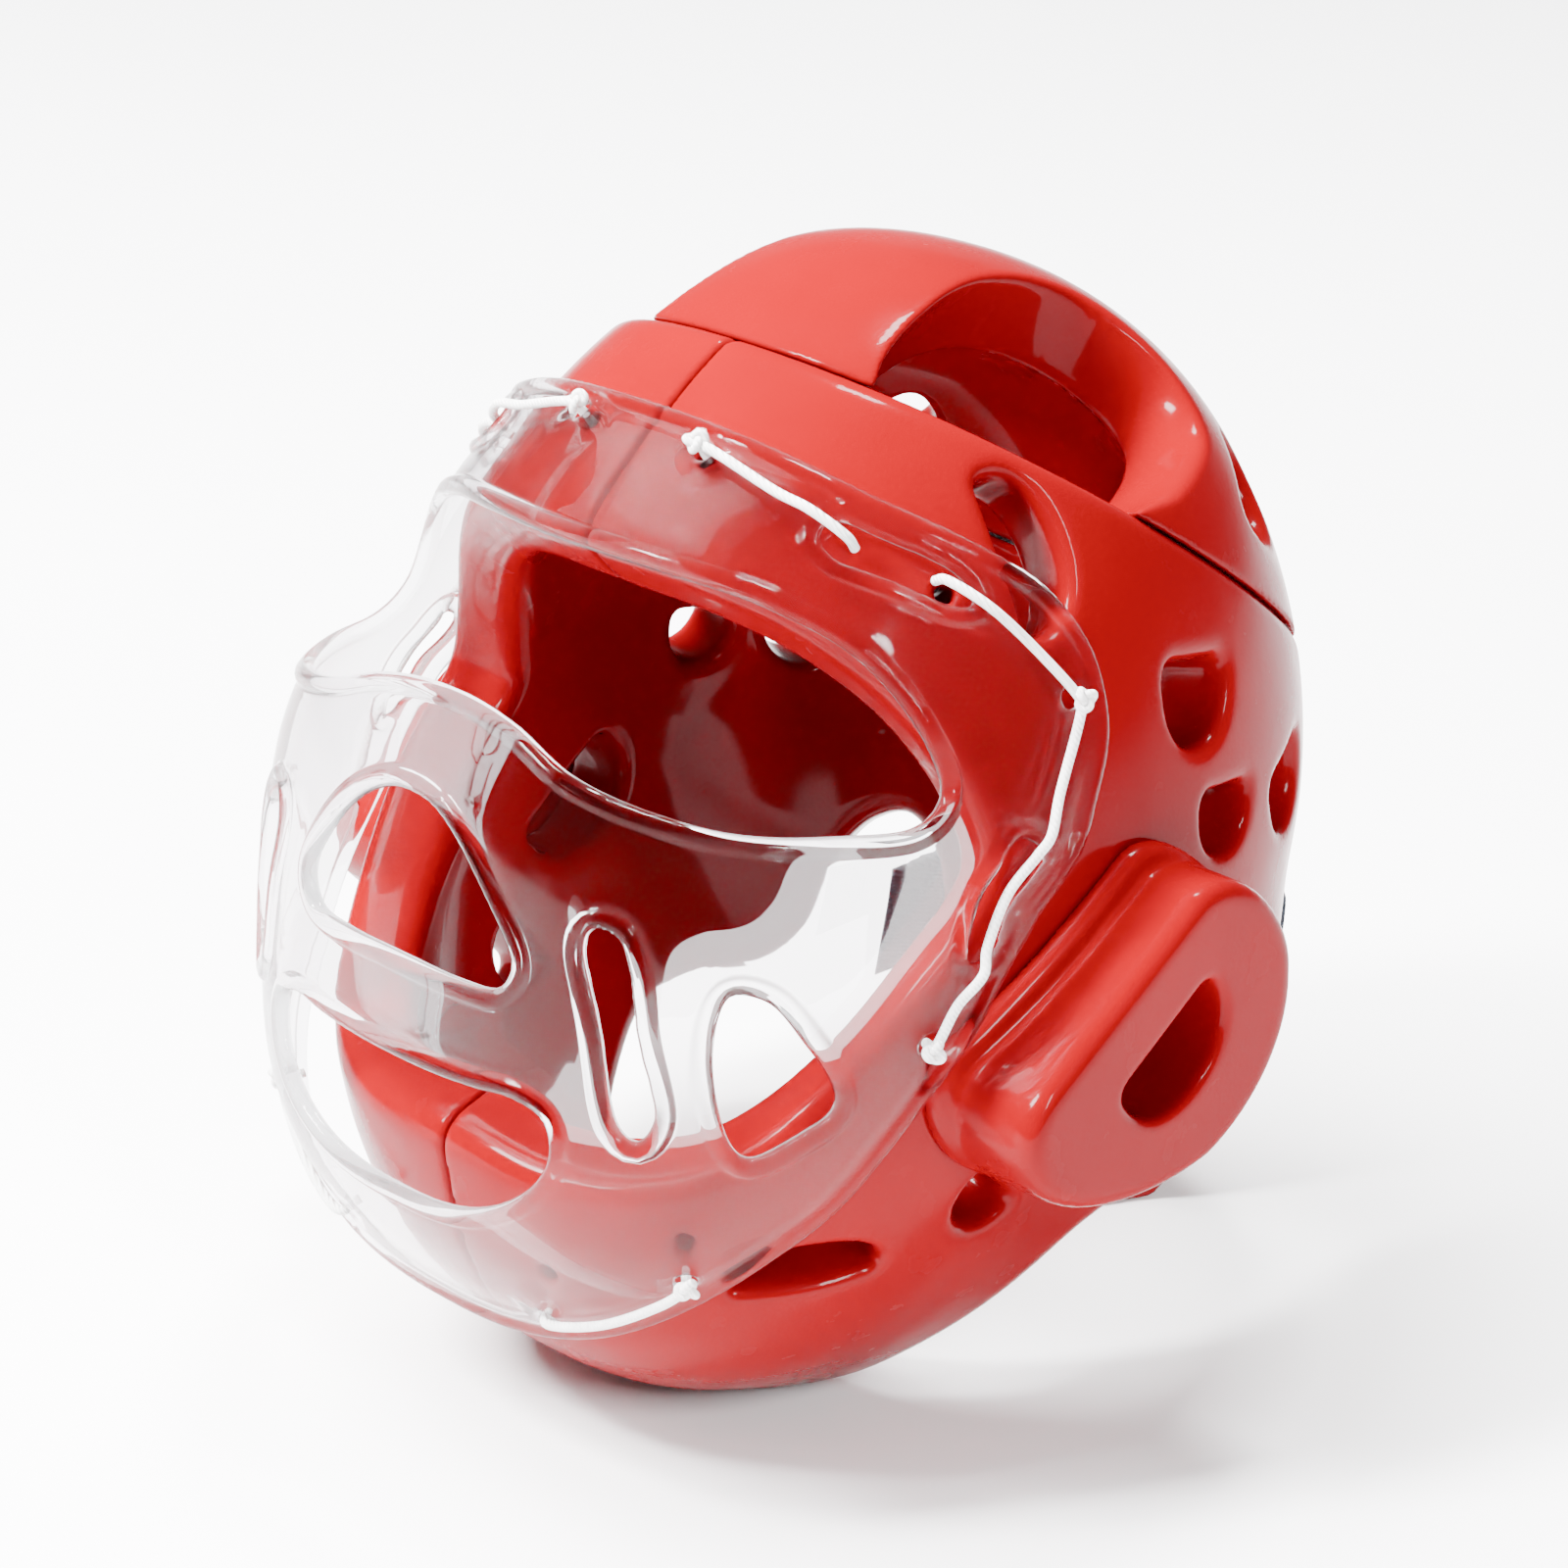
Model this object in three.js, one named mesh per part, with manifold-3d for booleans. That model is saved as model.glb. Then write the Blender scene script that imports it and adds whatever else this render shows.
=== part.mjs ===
// Full-face sparring headgear: a dipped foam shell, two ear pads, a laced clear face shield and a rear strap.
// Millimetres, +Z up. The face looks along -Y and the wearer's left is +X.
// The headgear leans back as it stands.
import * as THREE from "three";
import { mergeVertices } from "three/addons/utils/BufferGeometryUtils.js";
import Module from "manifold-3d";

const wasm = await Module();
wasm.setup();

// Overall sizes of the foam dome, measured from its centre between the ears
const HALF_WIDTH = 97;
const REACH = 130;
const CENTRE_HEIGHT = 120;
const FOAM_WALL = 20;
const PIECE_GAP = 0.3;
const BAND_LEAN = 35;
const BAND_RISE = 83.5;

const VENT_SIZE = 20;
const LACE_HOLE = 4.6;

// Ear pads
const PAD_LENGTH = 86;
const PAD_DEPTH = 59;
const PAD_THICKNESS = 22;
const PAD_SLANT = 34;
const PAD_BACK = -15;
const PAD_DROP = 16;
const PAD_EDGE = 3;
const EAR_HOLE_SHIFT = 3;
const EAR_HOLE_LENGTH = 34;
const EAR_HOLE_DEPTH = 19;

// Face shield and its rolled edges. It follows the foam, and its profile holds the room in front of the face
const SHIELD_SIDE_ROOM = 5;
const SHIELD_HALF_WIDTH = HALF_WIDTH + SHIELD_SIDE_ROOM;
const SHIELD_REACH = REACH;
const SHIELD_WALL = 2.6;
const LIP_WIDTH = 4.5;
const EDGE_RISE = 1.2;
const SHIELD_HOLE = 5;

// Lace and strap
const LACE_DIAMETER = 2.2;
const KNOT_DIAMETER = 5;
const STRAP_HEIGHT = 28;
const STRAP_THICKNESS = 2;
const STRAP_HALF_SPAN = 63;
const STRAP_MIDDLE = 72;
const STRAP_TILT = 16.5;
const STRAP_SAG = 10.5;

// Steps round each form
const TURNS = 36;
const ROWS = 18;
const NECK_STEPS = 63;
const NECK_START = 0.3;
const FAR_SHARE = 8;
const FINENESS = 0.14;

// Side profile of the foam: angle from the back through the top, reach as a share of REACH,
// and squareness of the section
const FOAM_PROFILE = [
  { angle: -168, reach: 0.95, square: 2.35 },
  { angle: -158, reach: 0.992, square: 2.4 },
  { angle: -139, reach: 1.067, square: 2.4 },
  { angle: -128, reach: 1.07, square: 2.3 },
  { angle: -116, reach: 1.046, square: 2.2 },
  { angle: -104, reach: 1.035, square: 2.2 },
  { angle: -88, reach: 1.1, square: 2.2 },
  { angle: -73, reach: 1.17, square: 2.2 },
  { angle: -60, reach: 1.208, square: 2.2 },
  { angle: -48, reach: 1.12, square: 2.2 },
  { angle: -35, reach: 0.985, square: 2.2 },
  { angle: -13, reach: 0.885, square: 2.2 },
  { angle: 4, reach: 0.908, square: 2.2 },
  { angle: 20, reach: 0.942, square: 2.2 },
  { angle: 36, reach: 0.98, square: 2.2 },
  { angle: 54, reach: 1.031, square: 2.2 },
  { angle: 71, reach: 1.054, square: 2.2 },
  { angle: 84, reach: 1.05, square: 2.2 },
  { angle: 96, reach: 1.018, square: 2.15 },
  { angle: 108, reach: 0.968, square: 2.15 },
  { angle: 122, reach: 0.915, square: 2.15 },
  { angle: 142, reach: 0.877, square: 2.2 },
  { angle: 170, reach: 0.9, square: 2.3 },
];

// The crown panel sits a little below the band in front, which leaves the crease behind the band
const CROWN_PROFILE = FOAM_PROFILE.map((row) => ({
  ...row,
  reach: row.reach - 0.026 * Math.max(0, 1 - Math.abs(row.angle - 108) / 20),
}));

// Side profile of the shield, in the same columns, as a share of SHIELD_REACH
const SHIELD_PROFILE = [
  { angle: -174, reach: 1.022, square: 2.8 },
  { angle: -159, reach: 1.098, square: 2.7 },
  { angle: -148, reach: 1.11, square: 2.6 },
  { angle: -138, reach: 1.098, square: 2.5 },
  { angle: -120, reach: 1.09, square: 2.3 },
  { angle: -90, reach: 1.15, square: 2.2 },
  { angle: -50, reach: 1.1, square: 2.2 },
  { angle: 0, reach: 0.95, square: 2.2 },
  { angle: 50, reach: 1.05, square: 2.2 },
  { angle: 85, reach: 1.09, square: 2.2 },
  { angle: 100, reach: 1.04, square: 2.2 },
  { angle: 108, reach: 1.0, square: 2.2 },
  { angle: 114, reach: 0.976, square: 2.2 },
  { angle: 120, reach: 0.956, square: 2.2 },
  { angle: 130, reach: 0.936, square: 2.25 },
  { angle: 142, reach: 0.962, square: 2.35 },
  { angle: 153, reach: 1.005, square: 2.5 },
  { angle: 162, reach: 1.018, square: 2.6 },
  { angle: 174, reach: 1.0, square: 2.8 },
];

// Outlines on a form's surface, from the middle of the top edge down to the middle of the bottom edge
const FACE_EDGE = [
  { angle: 131, spread: 0 },
  { angle: 130, spread: 18 },
  { angle: 129, spread: 34 },
  { angle: 130, spread: 48 },
  { angle: 135, spread: 59 },
  { angle: 146, spread: 66 },
  { angle: 160, spread: 66 },
  { angle: 174, spread: 62 },
  { angle: 186, spread: 56 },
  { angle: 194, spread: 48 },
  { angle: 199, spread: 37 },
  { angle: 200, spread: 24 },
  { angle: 199, spread: 12 },
  { angle: 197.5, spread: 0 },
];
// Neck opening, from the chin along the cheeks, up into the notches beside the rear flap and to its foot.
// Flare is how much further the edge is trimmed on the outer surface than on the inner one
const NECK_EDGE = [
  { angle: -108, spread: 0, flare: 0 },
  { angle: -108, spread: 14, flare: 0 },
  { angle: -107, spread: 26, flare: 0 },
  { angle: -105.4, spread: 36, flare: 1 },
  { angle: -95, spread: 50, flare: 6.5 },
  { angle: -87, spread: 55.5, flare: 6 },
  { angle: -79, spread: 57, flare: 5 },
  { angle: -71, spread: 56.5, flare: 5 },
  { angle: -64, spread: 54, flare: 7 },
  { angle: -57, spread: 51, flare: 7.5 },
  { angle: -50, spread: 48.5, flare: 5 },
  { angle: -43, spread: 47.5, flare: 2 },
  { angle: -36, spread: 45.5, flare: 0 },
  { angle: -29, spread: 41, flare: 0 },
  { angle: -26, spread: 35, flare: 0 },
  { angle: -30, spread: 29.5, flare: 0 },
  { angle: -38, spread: 26, flare: 0 },
  { angle: -46, spread: 24, flare: 0 },
  { angle: -52, spread: 21, flare: 0 },
  { angle: -56, spread: 17, flare: 0 },
  { angle: -63, spread: 12, flare: 0 },
  { angle: -65, spread: 0, flare: 0 },
];
const SHIELD_EDGE = [
  { angle: 115.5, spread: 0 },
  { angle: 114.5, spread: 17 },
  { angle: 112, spread: 31 },
  { angle: 107, spread: 43 },
  { angle: 101, spread: 54 },
  { angle: 98.5, spread: 62 },
  { angle: 101, spread: 68.5 },
  { angle: 116, spread: 73.5 },
  { angle: 139, spread: 76 },
  { angle: 165, spread: 76.5 },
  { angle: 185, spread: 73 },
  { angle: 197, spread: 65.5 },
  { angle: 204, spread: 57 },
  { angle: 207.5, spread: 46 },
  { angle: 210.5, spread: 34 },
  { angle: 213, spread: 22 },
  { angle: 214.5, spread: 9 },
  { angle: 215, spread: 0 },
];
const EYE_EDGE = [
  { angle: 132.5, spread: 0 },
  { angle: 131.5, spread: 14 },
  { angle: 129.5, spread: 28 },
  { angle: 128.7, spread: 41 },
  { angle: 132, spread: 51.5 },
  { angle: 138, spread: 57.5 },
  { angle: 145.5, spread: 57 },
  { angle: 151, spread: 49 },
  { angle: 154, spread: 40 },
  { angle: 154.8, spread: 28 },
  { angle: 154, spread: 17 },
  { angle: 151.5, spread: 8 },
  { angle: 150.5, spread: 0 },
];
const NOSE_EDGE = [
  { angle: 161, spread: 0 },
  { angle: 163, spread: 4.5 },
  { angle: 168.5, spread: 9.5 },
  { angle: 173.5, spread: 12.3 },
  { angle: 176.3, spread: 10.5 },
  { angle: 177, spread: 5 },
  { angle: 177, spread: 0 },
];
const MOUTH_EDGE = [
  { angle: 187.3, spread: 0 },
  { angle: 187, spread: 8 },
  { angle: 186.8, spread: 13.5 },
  { angle: 188.3, spread: 18 },
  { angle: 191.5, spread: 19 },
  { angle: 195, spread: 16.5 },
  { angle: 198.5, spread: 9 },
  { angle: 199.8, spread: 0 },
];

// Shield openings beside the middle, one on each side, as closed outlines
const SIDE_OPENINGS = {
  cheek_slot: [
    { angle: 167.8, spread: 23.5 },
    { angle: 168, spread: 27 },
    { angle: 178, spread: 30 },
    { angle: 187, spread: 33 },
    { angle: 189.3, spread: 31 },
    { angle: 187.5, spread: 28 },
    { angle: 178, spread: 24.8 },
    { angle: 170, spread: 22.3 },
  ],
  cheek_kite: [
    { angle: 172.5, spread: 42 },
    { angle: 173, spread: 47 },
    { angle: 179, spread: 52.5 },
    { angle: 185, spread: 56 },
    { angle: 189, spread: 56.5 },
    { angle: 191.5, spread: 51.5 },
    { angle: 192.5, spread: 46 },
    { angle: 189.5, spread: 43 },
    { angle: 179, spread: 40.3 },
  ],
  temple_slot: [
    { angle: 119.3, spread: 28.2 },
    { angle: 117.3, spread: 28.5 },
    { angle: 115, spread: 35 },
    { angle: 111.3, spread: 45.3 },
    { angle: 112.2, spread: 47.5 },
    { angle: 114.7, spread: 45.8 },
    { angle: 118, spread: 38.5 },
    { angle: 120.5, spread: 31 },
  ],
  ear_slot: [
    { angle: 136, spread: 68.6 },
    { angle: 135, spread: 71.4 },
    { angle: 152, spread: 73 },
    { angle: 165.5, spread: 73.3 },
    { angle: 167, spread: 71.4 },
    { angle: 158, spread: 69.8 },
    { angle: 147, spread: 68.9 },
  ],
};

// Crown opening: its ridge on the outer surface and its lower edge on the inner surface
const CROWN_RIDGE = [
  { angle: 101, spread: 21 },
  { angle: 89, spread: 16 },
  { angle: 79, spread: 14 },
  { angle: 68, spread: 16 },
  { angle: 60, spread: 26 },
  { angle: 58, spread: 36 },
  { angle: 68, spread: 47 },
  { angle: 80, spread: 50.5 },
  { angle: 91, spread: 58 },
  { angle: 101, spread: 49 },
  { angle: 108, spread: 34 },
];
const CROWN_INNER = [
  { angle: 100, spread: 13.5 },
  { angle: 90, spread: 11 },
  { angle: 81, spread: 11 },
  { angle: 73, spread: 13 },
  { angle: 64, spread: 19 },
  { angle: 59, spread: 26 },
  { angle: 62, spread: 34 },
  { angle: 70, spread: 42 },
  { angle: 80, spread: 49 },
  { angle: 94, spread: 50 },
  { angle: 106, spread: 33 },
];

// Air vents on each side: where they sit, length and width as shares of VENT_SIZE, and the long side's turn
const VENTS = [
  { angle: 63, spread: 69, length: 1.1, width: 0.95, turn: 20 },
  { angle: 11, spread: 58, length: 1.1, width: 0.85, turn: 100 },
  { angle: 30, spread: 75, length: 0.9, width: 0.7, turn: 60 },
  { angle: 98, spread: 48.5, length: 1.8, width: 0.7, turn: 68 },
  { angle: 44, spread: 35, length: 1.25, width: 1, turn: 100 },
  { angle: -126, spread: 64, length: 0.85, width: 0.6, turn: 150 },
  { angle: -143, spread: 46.5, length: 1.65, width: 0.5, turn: 72 },
];

// Lace holes through the foam, one of each on each side
const FOAM_LACE_HOLES = [
  { angle: 118, spread: 9.5 },
  { angle: 112.8, spread: 44.5 },
  { angle: 207, spread: 33 },
  { angle: 211, spread: 12 },
];
const SHIELD_LACE_HOLES = [
  { angle: 118.2, spread: 9.5 },
  { angle: 106.6, spread: 63 },
  { angle: 183, spread: 68 },
  { angle: 206.5, spread: 36 },
  { angle: 211, spread: 14 },
];

// Lace runs on the left side: places on the shield and the lift of the cord's middle from its outer face
const LACES = {
  lace_forehead: {
    route: [
      { angle: 118.2, spread: 9.5, lift: -4.5 },
      { angle: 118.2, spread: 9.8, lift: 1.2 },
      { angle: 118.3, spread: 13, lift: 1.6 },
      { angle: 118.6, spread: 21, lift: 1.6 },
      { angle: 118.4, spread: 26, lift: 3.6 },
      { angle: 118, spread: 31, lift: 1.6 },
      { angle: 117.8, spread: 32.5, lift: -2.6 },
    ],
    knots: [{ angle: 118.2, spread: 9, lift: 2.6 }],
  },
  lace_temple: {
    route: [
      { angle: 113.6, spread: 42.5, lift: -3.5 },
      { angle: 113.4, spread: 43.5, lift: 1.4 },
      { angle: 112, spread: 48.6, lift: 4 },
      { angle: 109.5, spread: 55, lift: 1.8 },
      { angle: 106.4, spread: 62.8, lift: 1.6 },
      { angle: 107.5, spread: 64.4, lift: 1.6 },
      { angle: 122, spread: 68, lift: 1.7 },
      { angle: 132.5, spread: 69.7, lift: 3.6 },
      { angle: 138.5, spread: 70.6, lift: 1.9 },
      { angle: 150, spread: 71.2, lift: 1.2 },
      { angle: 162.5, spread: 71.8, lift: 1.9 },
      { angle: 168.5, spread: 71.8, lift: 3.6 },
      { angle: 175, spread: 70.2, lift: 1.8 },
      { angle: 181.5, spread: 68.5, lift: 1.6 },
      { angle: 182.9, spread: 68.1, lift: 0.8 },
      { angle: 183, spread: 68, lift: -2.2 },
    ],
    knots: [
      { angle: 105.6, spread: 63.6, lift: 2.6 },
      { angle: 183.4, spread: 67.8, lift: 2.6 },
    ],
  },
  lace_chin: {
    route: [
      { angle: 206.5, spread: 36, lift: -4.2 },
      { angle: 206.6, spread: 35.6, lift: 1.0 },
      { angle: 208, spread: 31.5, lift: 1.6 },
      { angle: 210, spread: 23, lift: 1.6 },
      { angle: 210.9, spread: 14.9, lift: 1.2 },
      { angle: 211, spread: 14, lift: -4.2 },
    ],
    knots: [{ angle: 206.1, spread: 36.3, lift: 2.6 }],
  },
};

const radians = THREE.MathUtils.degToRad;
const centre = new THREE.Vector3(0, 0, CENTRE_HEIGHT);

// Value of one column of a profile at an angle, smooth and closed round the turn
function profileAt(profile, column, angle) {
  const count = profile.length;
  const turn = ((((angle + 180) % 360) + 360) % 360) - 180;
  const row = (k) => {
    const wrapped = ((k % count) + count) % count;
    return { at: profile[wrapped].angle + 360 * Math.floor(k / count), value: profile[wrapped][column] };
  };
  let k = count - 1;
  while (k >= 0 && profile[k].angle > turn) k -= 1;
  const [before, low, high, after] = [row(k - 1), row(k), row(k + 1), row(k + 2)];
  const span = high.at - low.at;
  const s = (turn - low.at) / span;
  const slopeLow = ((high.value - before.value) / (high.at - before.at)) * span;
  const slopeHigh = ((after.value - low.value) / (after.at - low.at)) * span;
  return (
    (2 * s ** 3 - 3 * s ** 2 + 1) * low.value +
    (s ** 3 - 2 * s ** 2 + s) * slopeLow +
    (3 * s ** 2 - 2 * s ** 3) * high.value +
    (s ** 3 - s ** 2) * slopeHigh
  );
}

// A form is a dome about the centre. Angle runs round the ear axis, spread from the middle towards an ear
const foam = { profile: FOAM_PROFILE, halfWidth: HALF_WIDTH, reach: REACH };
const crown = { profile: CROWN_PROFILE, halfWidth: HALF_WIDTH, reach: REACH };
const shield = { profile: SHIELD_PROFILE, halfWidth: SHIELD_HALF_WIDTH, reach: SHIELD_REACH };

function formPoint(form, angle, spread, lift = 0) {
  const power = 2 / profileAt(form.profile, "square", angle);
  const reach = profileAt(form.profile, "reach", angle) * form.reach + lift;
  const out = Math.abs(Math.cos(radians(spread))) ** power * reach;
  const side = Math.sign(spread) * Math.abs(Math.sin(radians(spread))) ** power;
  return new THREE.Vector3(
    side * (form.halfWidth + lift),
    Math.cos(radians(angle)) * out,
    CENTRE_HEIGHT + Math.sin(radians(angle)) * out,
  );
}

function formNormal(form, angle, spread) {
  const along = formPoint(form, angle + 0.5, spread).sub(formPoint(form, angle - 0.5, spread));
  const across = formPoint(form, angle, spread + 0.5).sub(formPoint(form, angle, spread - 0.5));
  const normal = along.cross(across).normalize();
  const outward = formPoint(form, angle, spread).sub(centre);
  return normal.dot(outward) < 0 ? normal.negate() : normal;
}

// Place on a form, moved straight out from its surface
function placeOn(form, { angle, spread, lift = 0 }) {
  return formPoint(form, angle, spread).addScaledVector(formNormal(form, angle, spread), lift);
}

function geometryFrom(points, triangles) {
  const geometry = new THREE.BufferGeometry();
  geometry.setAttribute("position", new THREE.Float32BufferAttribute(points.flatMap((p) => p.toArray()), 3));
  geometry.setIndex(triangles.flat());
  return geometry;
}

function toSolid(source) {
  const geometry = source.clone();
  geometry.deleteAttribute("normal");
  geometry.deleteAttribute("uv");
  const merged = mergeVertices(geometry, 1e-4);
  const mesh = new wasm.Mesh({
    numProp: 3,
    vertProperties: new Float32Array(merged.attributes.position.array),
    triVerts: new Uint32Array(merged.index.array),
  });
  return new wasm.Manifold(mesh);
}

// Facets that bend less than the fineness are joined, and a loose flake left by a cut is dropped
function toGeometry(solid) {
  const bodies = solid.simplify(FINENESS).decompose();
  bodies.sort((a, b) => b.volume() - a.volume());
  const { vertProperties, triVerts } = bodies[0].getMesh();
  const geometry = new THREE.BufferGeometry();
  geometry.setAttribute("position", new THREE.BufferAttribute(new Float32Array(vertProperties), 3));
  geometry.setIndex(new THREE.BufferAttribute(new Uint32Array(triVerts), 1));
  geometry.computeVertexNormals();
  return geometry;
}

// Closed solid whose faces are turned out, whichever way they were listed
function outwardSolid(points, triangles) {
  const solid = toSolid(geometryFrom(points, triangles));
  if (solid.volume() > 0) return solid;
  return toSolid(geometryFrom(points, triangles.map(([a, b, c]) => [a, c, b])));
}

// The other side's piece: x and the winding are reversed
function mirroredGeometry(geometry) {
  const copy = geometry.clone();
  const position = copy.attributes.position;
  for (let k = 0; k < position.count; k += 1) position.setX(k, -position.getX(k));
  const index = Array.from(copy.index.array);
  for (let k = 0; k < index.length; k += 3) [index[k + 1], index[k + 2]] = [index[k + 2], index[k + 1]];
  copy.setIndex(index);
  copy.computeVertexNormals();
  return copy;
}

// Closed dome at a lift from the form's surface
function domeSolid(form, lift, turns = TURNS, rows = ROWS) {
  const points = [formPoint(form, 0, -90, lift), formPoint(form, 0, 90, lift)];
  const triangles = [];
  const at = (turn, row) => 2 + (row - 1) * turns + (turn % turns);
  for (let row = 1; row < rows; row += 1)
    for (let turn = 0; turn < turns; turn += 1)
      points.push(formPoint(form, (360 * turn) / turns, -90 + (180 * row) / rows, lift));
  for (let turn = 0; turn < turns; turn += 1) {
    triangles.push([0, at(turn + 1, 1), at(turn, 1)]);
    triangles.push([1, at(turn, rows - 1), at(turn + 1, rows - 1)]);
    for (let row = 1; row < rows - 1; row += 1) {
      triangles.push([at(turn, row), at(turn + 1, row), at(turn + 1, row + 1)]);
      triangles.push([at(turn, row), at(turn + 1, row + 1), at(turn, row + 1)]);
    }
  }
  return toSolid(geometryFrom(points, triangles));
}

// Places along a closed smooth outline; half outlines are completed with their mirror image
function outlineCurve(rows, half = false) {
  const other = half ? rows.slice(1, -1).reverse().map((r) => ({ angle: r.angle, spread: -r.spread })) : [];
  const corners = [...rows, ...other].map((r) => new THREE.Vector3(r.angle, r.spread, 0));
  return new THREE.CatmullRomCurve3(corners, true);
}

function smoothOutline(rows, count, half = false) {
  const points = outlineCurve(rows, half).getSpacedPoints(count).slice(0, count);
  return points.map((p) => ({ angle: p.x, spread: p.y }));
}

// Closed solid through rings of equal count, closed by a fan at each end
function loft(...rings) {
  const count = rings[0].length;
  const middle = (ring) => ring.reduce((sum, p) => sum.add(p), new THREE.Vector3()).divideScalar(count);
  const points = [...rings.flat(), middle(rings[0]), middle(rings.at(-1))];
  const last = (rings.length - 1) * count;
  const triangles = [];
  for (let k = 0; k < count; k += 1) {
    const next = (k + 1) % count;
    for (let row = 0; row < last; row += count) {
      triangles.push([row + k, row + next, row + count + next]);
      triangles.push([row + k, row + count + next, row + count + k]);
    }
    triangles.push([points.length - 2, next, k], [points.length - 1, last + k, last + next]);
  }
  return outwardSolid(points, triangles);
}

// Places of an outline on a form, drawn in towards the dome's centre or out to a share of the reach
function ringAt(form, outline, share) {
  const place = ({ angle, spread }) => formPoint(form, angle, spread).sub(centre);
  return outline.map((row) => place(row).multiplyScalar(share).add(centre));
}

// Cutter that widens straight out from the dome's centre through an outline, from one share of the reach on
function coneCutter(form, outline, from) {
  return loft(ringAt(form, outline, from), ringAt(form, outline, FAR_SHARE));
}

// The neck opening's cutter, which also takes the outer corner off the foam's lower rim
function neckCutter() {
  const flared = NECK_EDGE.map((row) => ({ angle: row.angle, spread: row.spread + row.flare }));
  const inner = outlineCurve(NECK_EDGE, true).getPoints(NECK_STEPS).slice(0, NECK_STEPS);
  const outer = outlineCurve(flared, true).getPoints(NECK_STEPS).slice(0, NECK_STEPS);
  const rows = (points) => points.map((p) => ({ angle: p.x, spread: p.y }));
  return loft(
    ringAt(foam, rows(inner), NECK_START),
    ringAt(foam, rows(inner), 1 - FOAM_WALL / REACH),
    ringAt(foam, rows(outer), 1),
    ringAt(foam, rows(outer), FAR_SHARE),
  );
}

// Shape with one straight side and one round side, along u and v
function dShape(length, width) {
  const shape = new THREE.Shape();
  const corner = Math.min(length, width) * 0.22;
  shape.moveTo(-length / 2 + corner, -width / 2);
  shape.lineTo(length / 2 - corner, -width / 2);
  shape.quadraticCurveTo(length / 2, -width / 2, length / 2, -width / 2 + corner);
  shape.bezierCurveTo(length / 2, width * 0.3, length * 0.22, width / 2, 0, width / 2);
  shape.bezierCurveTo(-length * 0.22, width / 2, -length / 2, width * 0.3, -length / 2, -width / 2 + corner);
  shape.quadraticCurveTo(-length / 2, -width / 2, -length / 2 + corner, -width / 2);
  return shape;
}

// Straight cutter through a form's wall, square to its surface
function wallCutter(form, place, shape, depth, curveSegments = 3) {
  const start = formPoint(form, place.angle, place.spread);
  const normal = formNormal(form, place.angle, place.spread);
  const along = formPoint(form, place.angle + 1, place.spread).sub(start);
  along.addScaledVector(normal, -along.dot(normal)).normalize();
  along.applyAxisAngle(normal, radians(place.turn ?? 0));
  const across = normal.clone().cross(along);
  const geometry = new THREE.ExtrudeGeometry(shape, { depth, bevelEnabled: false, curveSegments });
  geometry.translate(0, 0, -depth / 2);
  geometry.applyMatrix4(new THREE.Matrix4().makeBasis(along, across, normal).setPosition(start));
  return toSolid(geometry);
}

function ventShape({ length, width }) {
  return dShape(length * VENT_SIZE, width * VENT_SIZE);
}

function roundShape(diameter) {
  return new THREE.Shape().absarc(0, 0, diameter / 2, 0, 2 * Math.PI);
}

// Box that covers all above the plane of the band's top edge
function aboveBand(clearance) {
  const size = 6 * REACH;
  const geometry = new THREE.BoxGeometry(size, size, size);
  geometry.translate(0, 0, size / 2 + BAND_RISE + clearance);
  geometry.rotateX(-radians(BAND_LEAN));
  geometry.translate(0, 0, CENTRE_HEIGHT);
  return toSolid(geometry);
}

function sideBox(clearance) {
  const size = 6 * REACH;
  const geometry = new THREE.BoxGeometry(size, size, size);
  geometry.translate(size / 2 + clearance, 0, 0);
  return toSolid(geometry);
}

// All below the floor
function floorCutter() {
  const size = 6 * REACH;
  const geometry = new THREE.BoxGeometry(size, size, size);
  geometry.translate(0, 0, -size / 2);
  return toSolid(geometry);
}

// Bends round an ear pad from the back end of its straight side: two handles and an end, as shares of
// the pad's length and depth
const PAD_BENDS = [
  [-0.4, 0.4, -0.48, 0.32, -0.49, 0.16],
  [-0.52, -0.12, -0.26, -0.46, -0.04, -0.58],
  [0.14, -0.64, 0.36, -0.56, 0.46, -0.3],
  [0.56, -0.1, 0.5, 0.4, 0.28, 0.4],
];

// Outline of an ear pad in its own plane, its straight side in front
function padShape(length, depth) {
  const shape = new THREE.Shape();
  shape.moveTo(length * 0.28, depth * 0.4);
  shape.lineTo(-length * 0.3, depth * 0.4);
  for (const bend of PAD_BENDS)
    shape.bezierCurveTo(...bend.map((share, k) => share * (k % 2 ? depth : length)));
  return shape;
}

// Matrix that lays a pad's plane against the left side, its depth outwards
function padMatrix(x) {
  const up = new THREE.Vector3(0, Math.cos(radians(PAD_SLANT)), Math.sin(radians(PAD_SLANT)));
  const side = new THREE.Vector3(1, 0, 0);
  return new THREE.Matrix4()
    .makeBasis(up, side.clone().cross(up), side)
    .setPosition(x, PAD_BACK, CENTRE_HEIGHT - PAD_DROP);
}

function earHoleCutter() {
  const depth = 4 * PAD_THICKNESS;
  const geometry = new THREE.ExtrudeGeometry(dShape(EAR_HOLE_LENGTH, EAR_HOLE_DEPTH), {
    depth,
    bevelEnabled: false,
    curveSegments: 4,
  });
  geometry.rotateZ(Math.PI);
  geometry.translate(EAR_HOLE_SHIFT, -EAR_HOLE_DEPTH * 0.24, -depth / 2);
  geometry.applyMatrix4(padMatrix(HALF_WIDTH));
  return toSolid(geometry);
}

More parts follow.
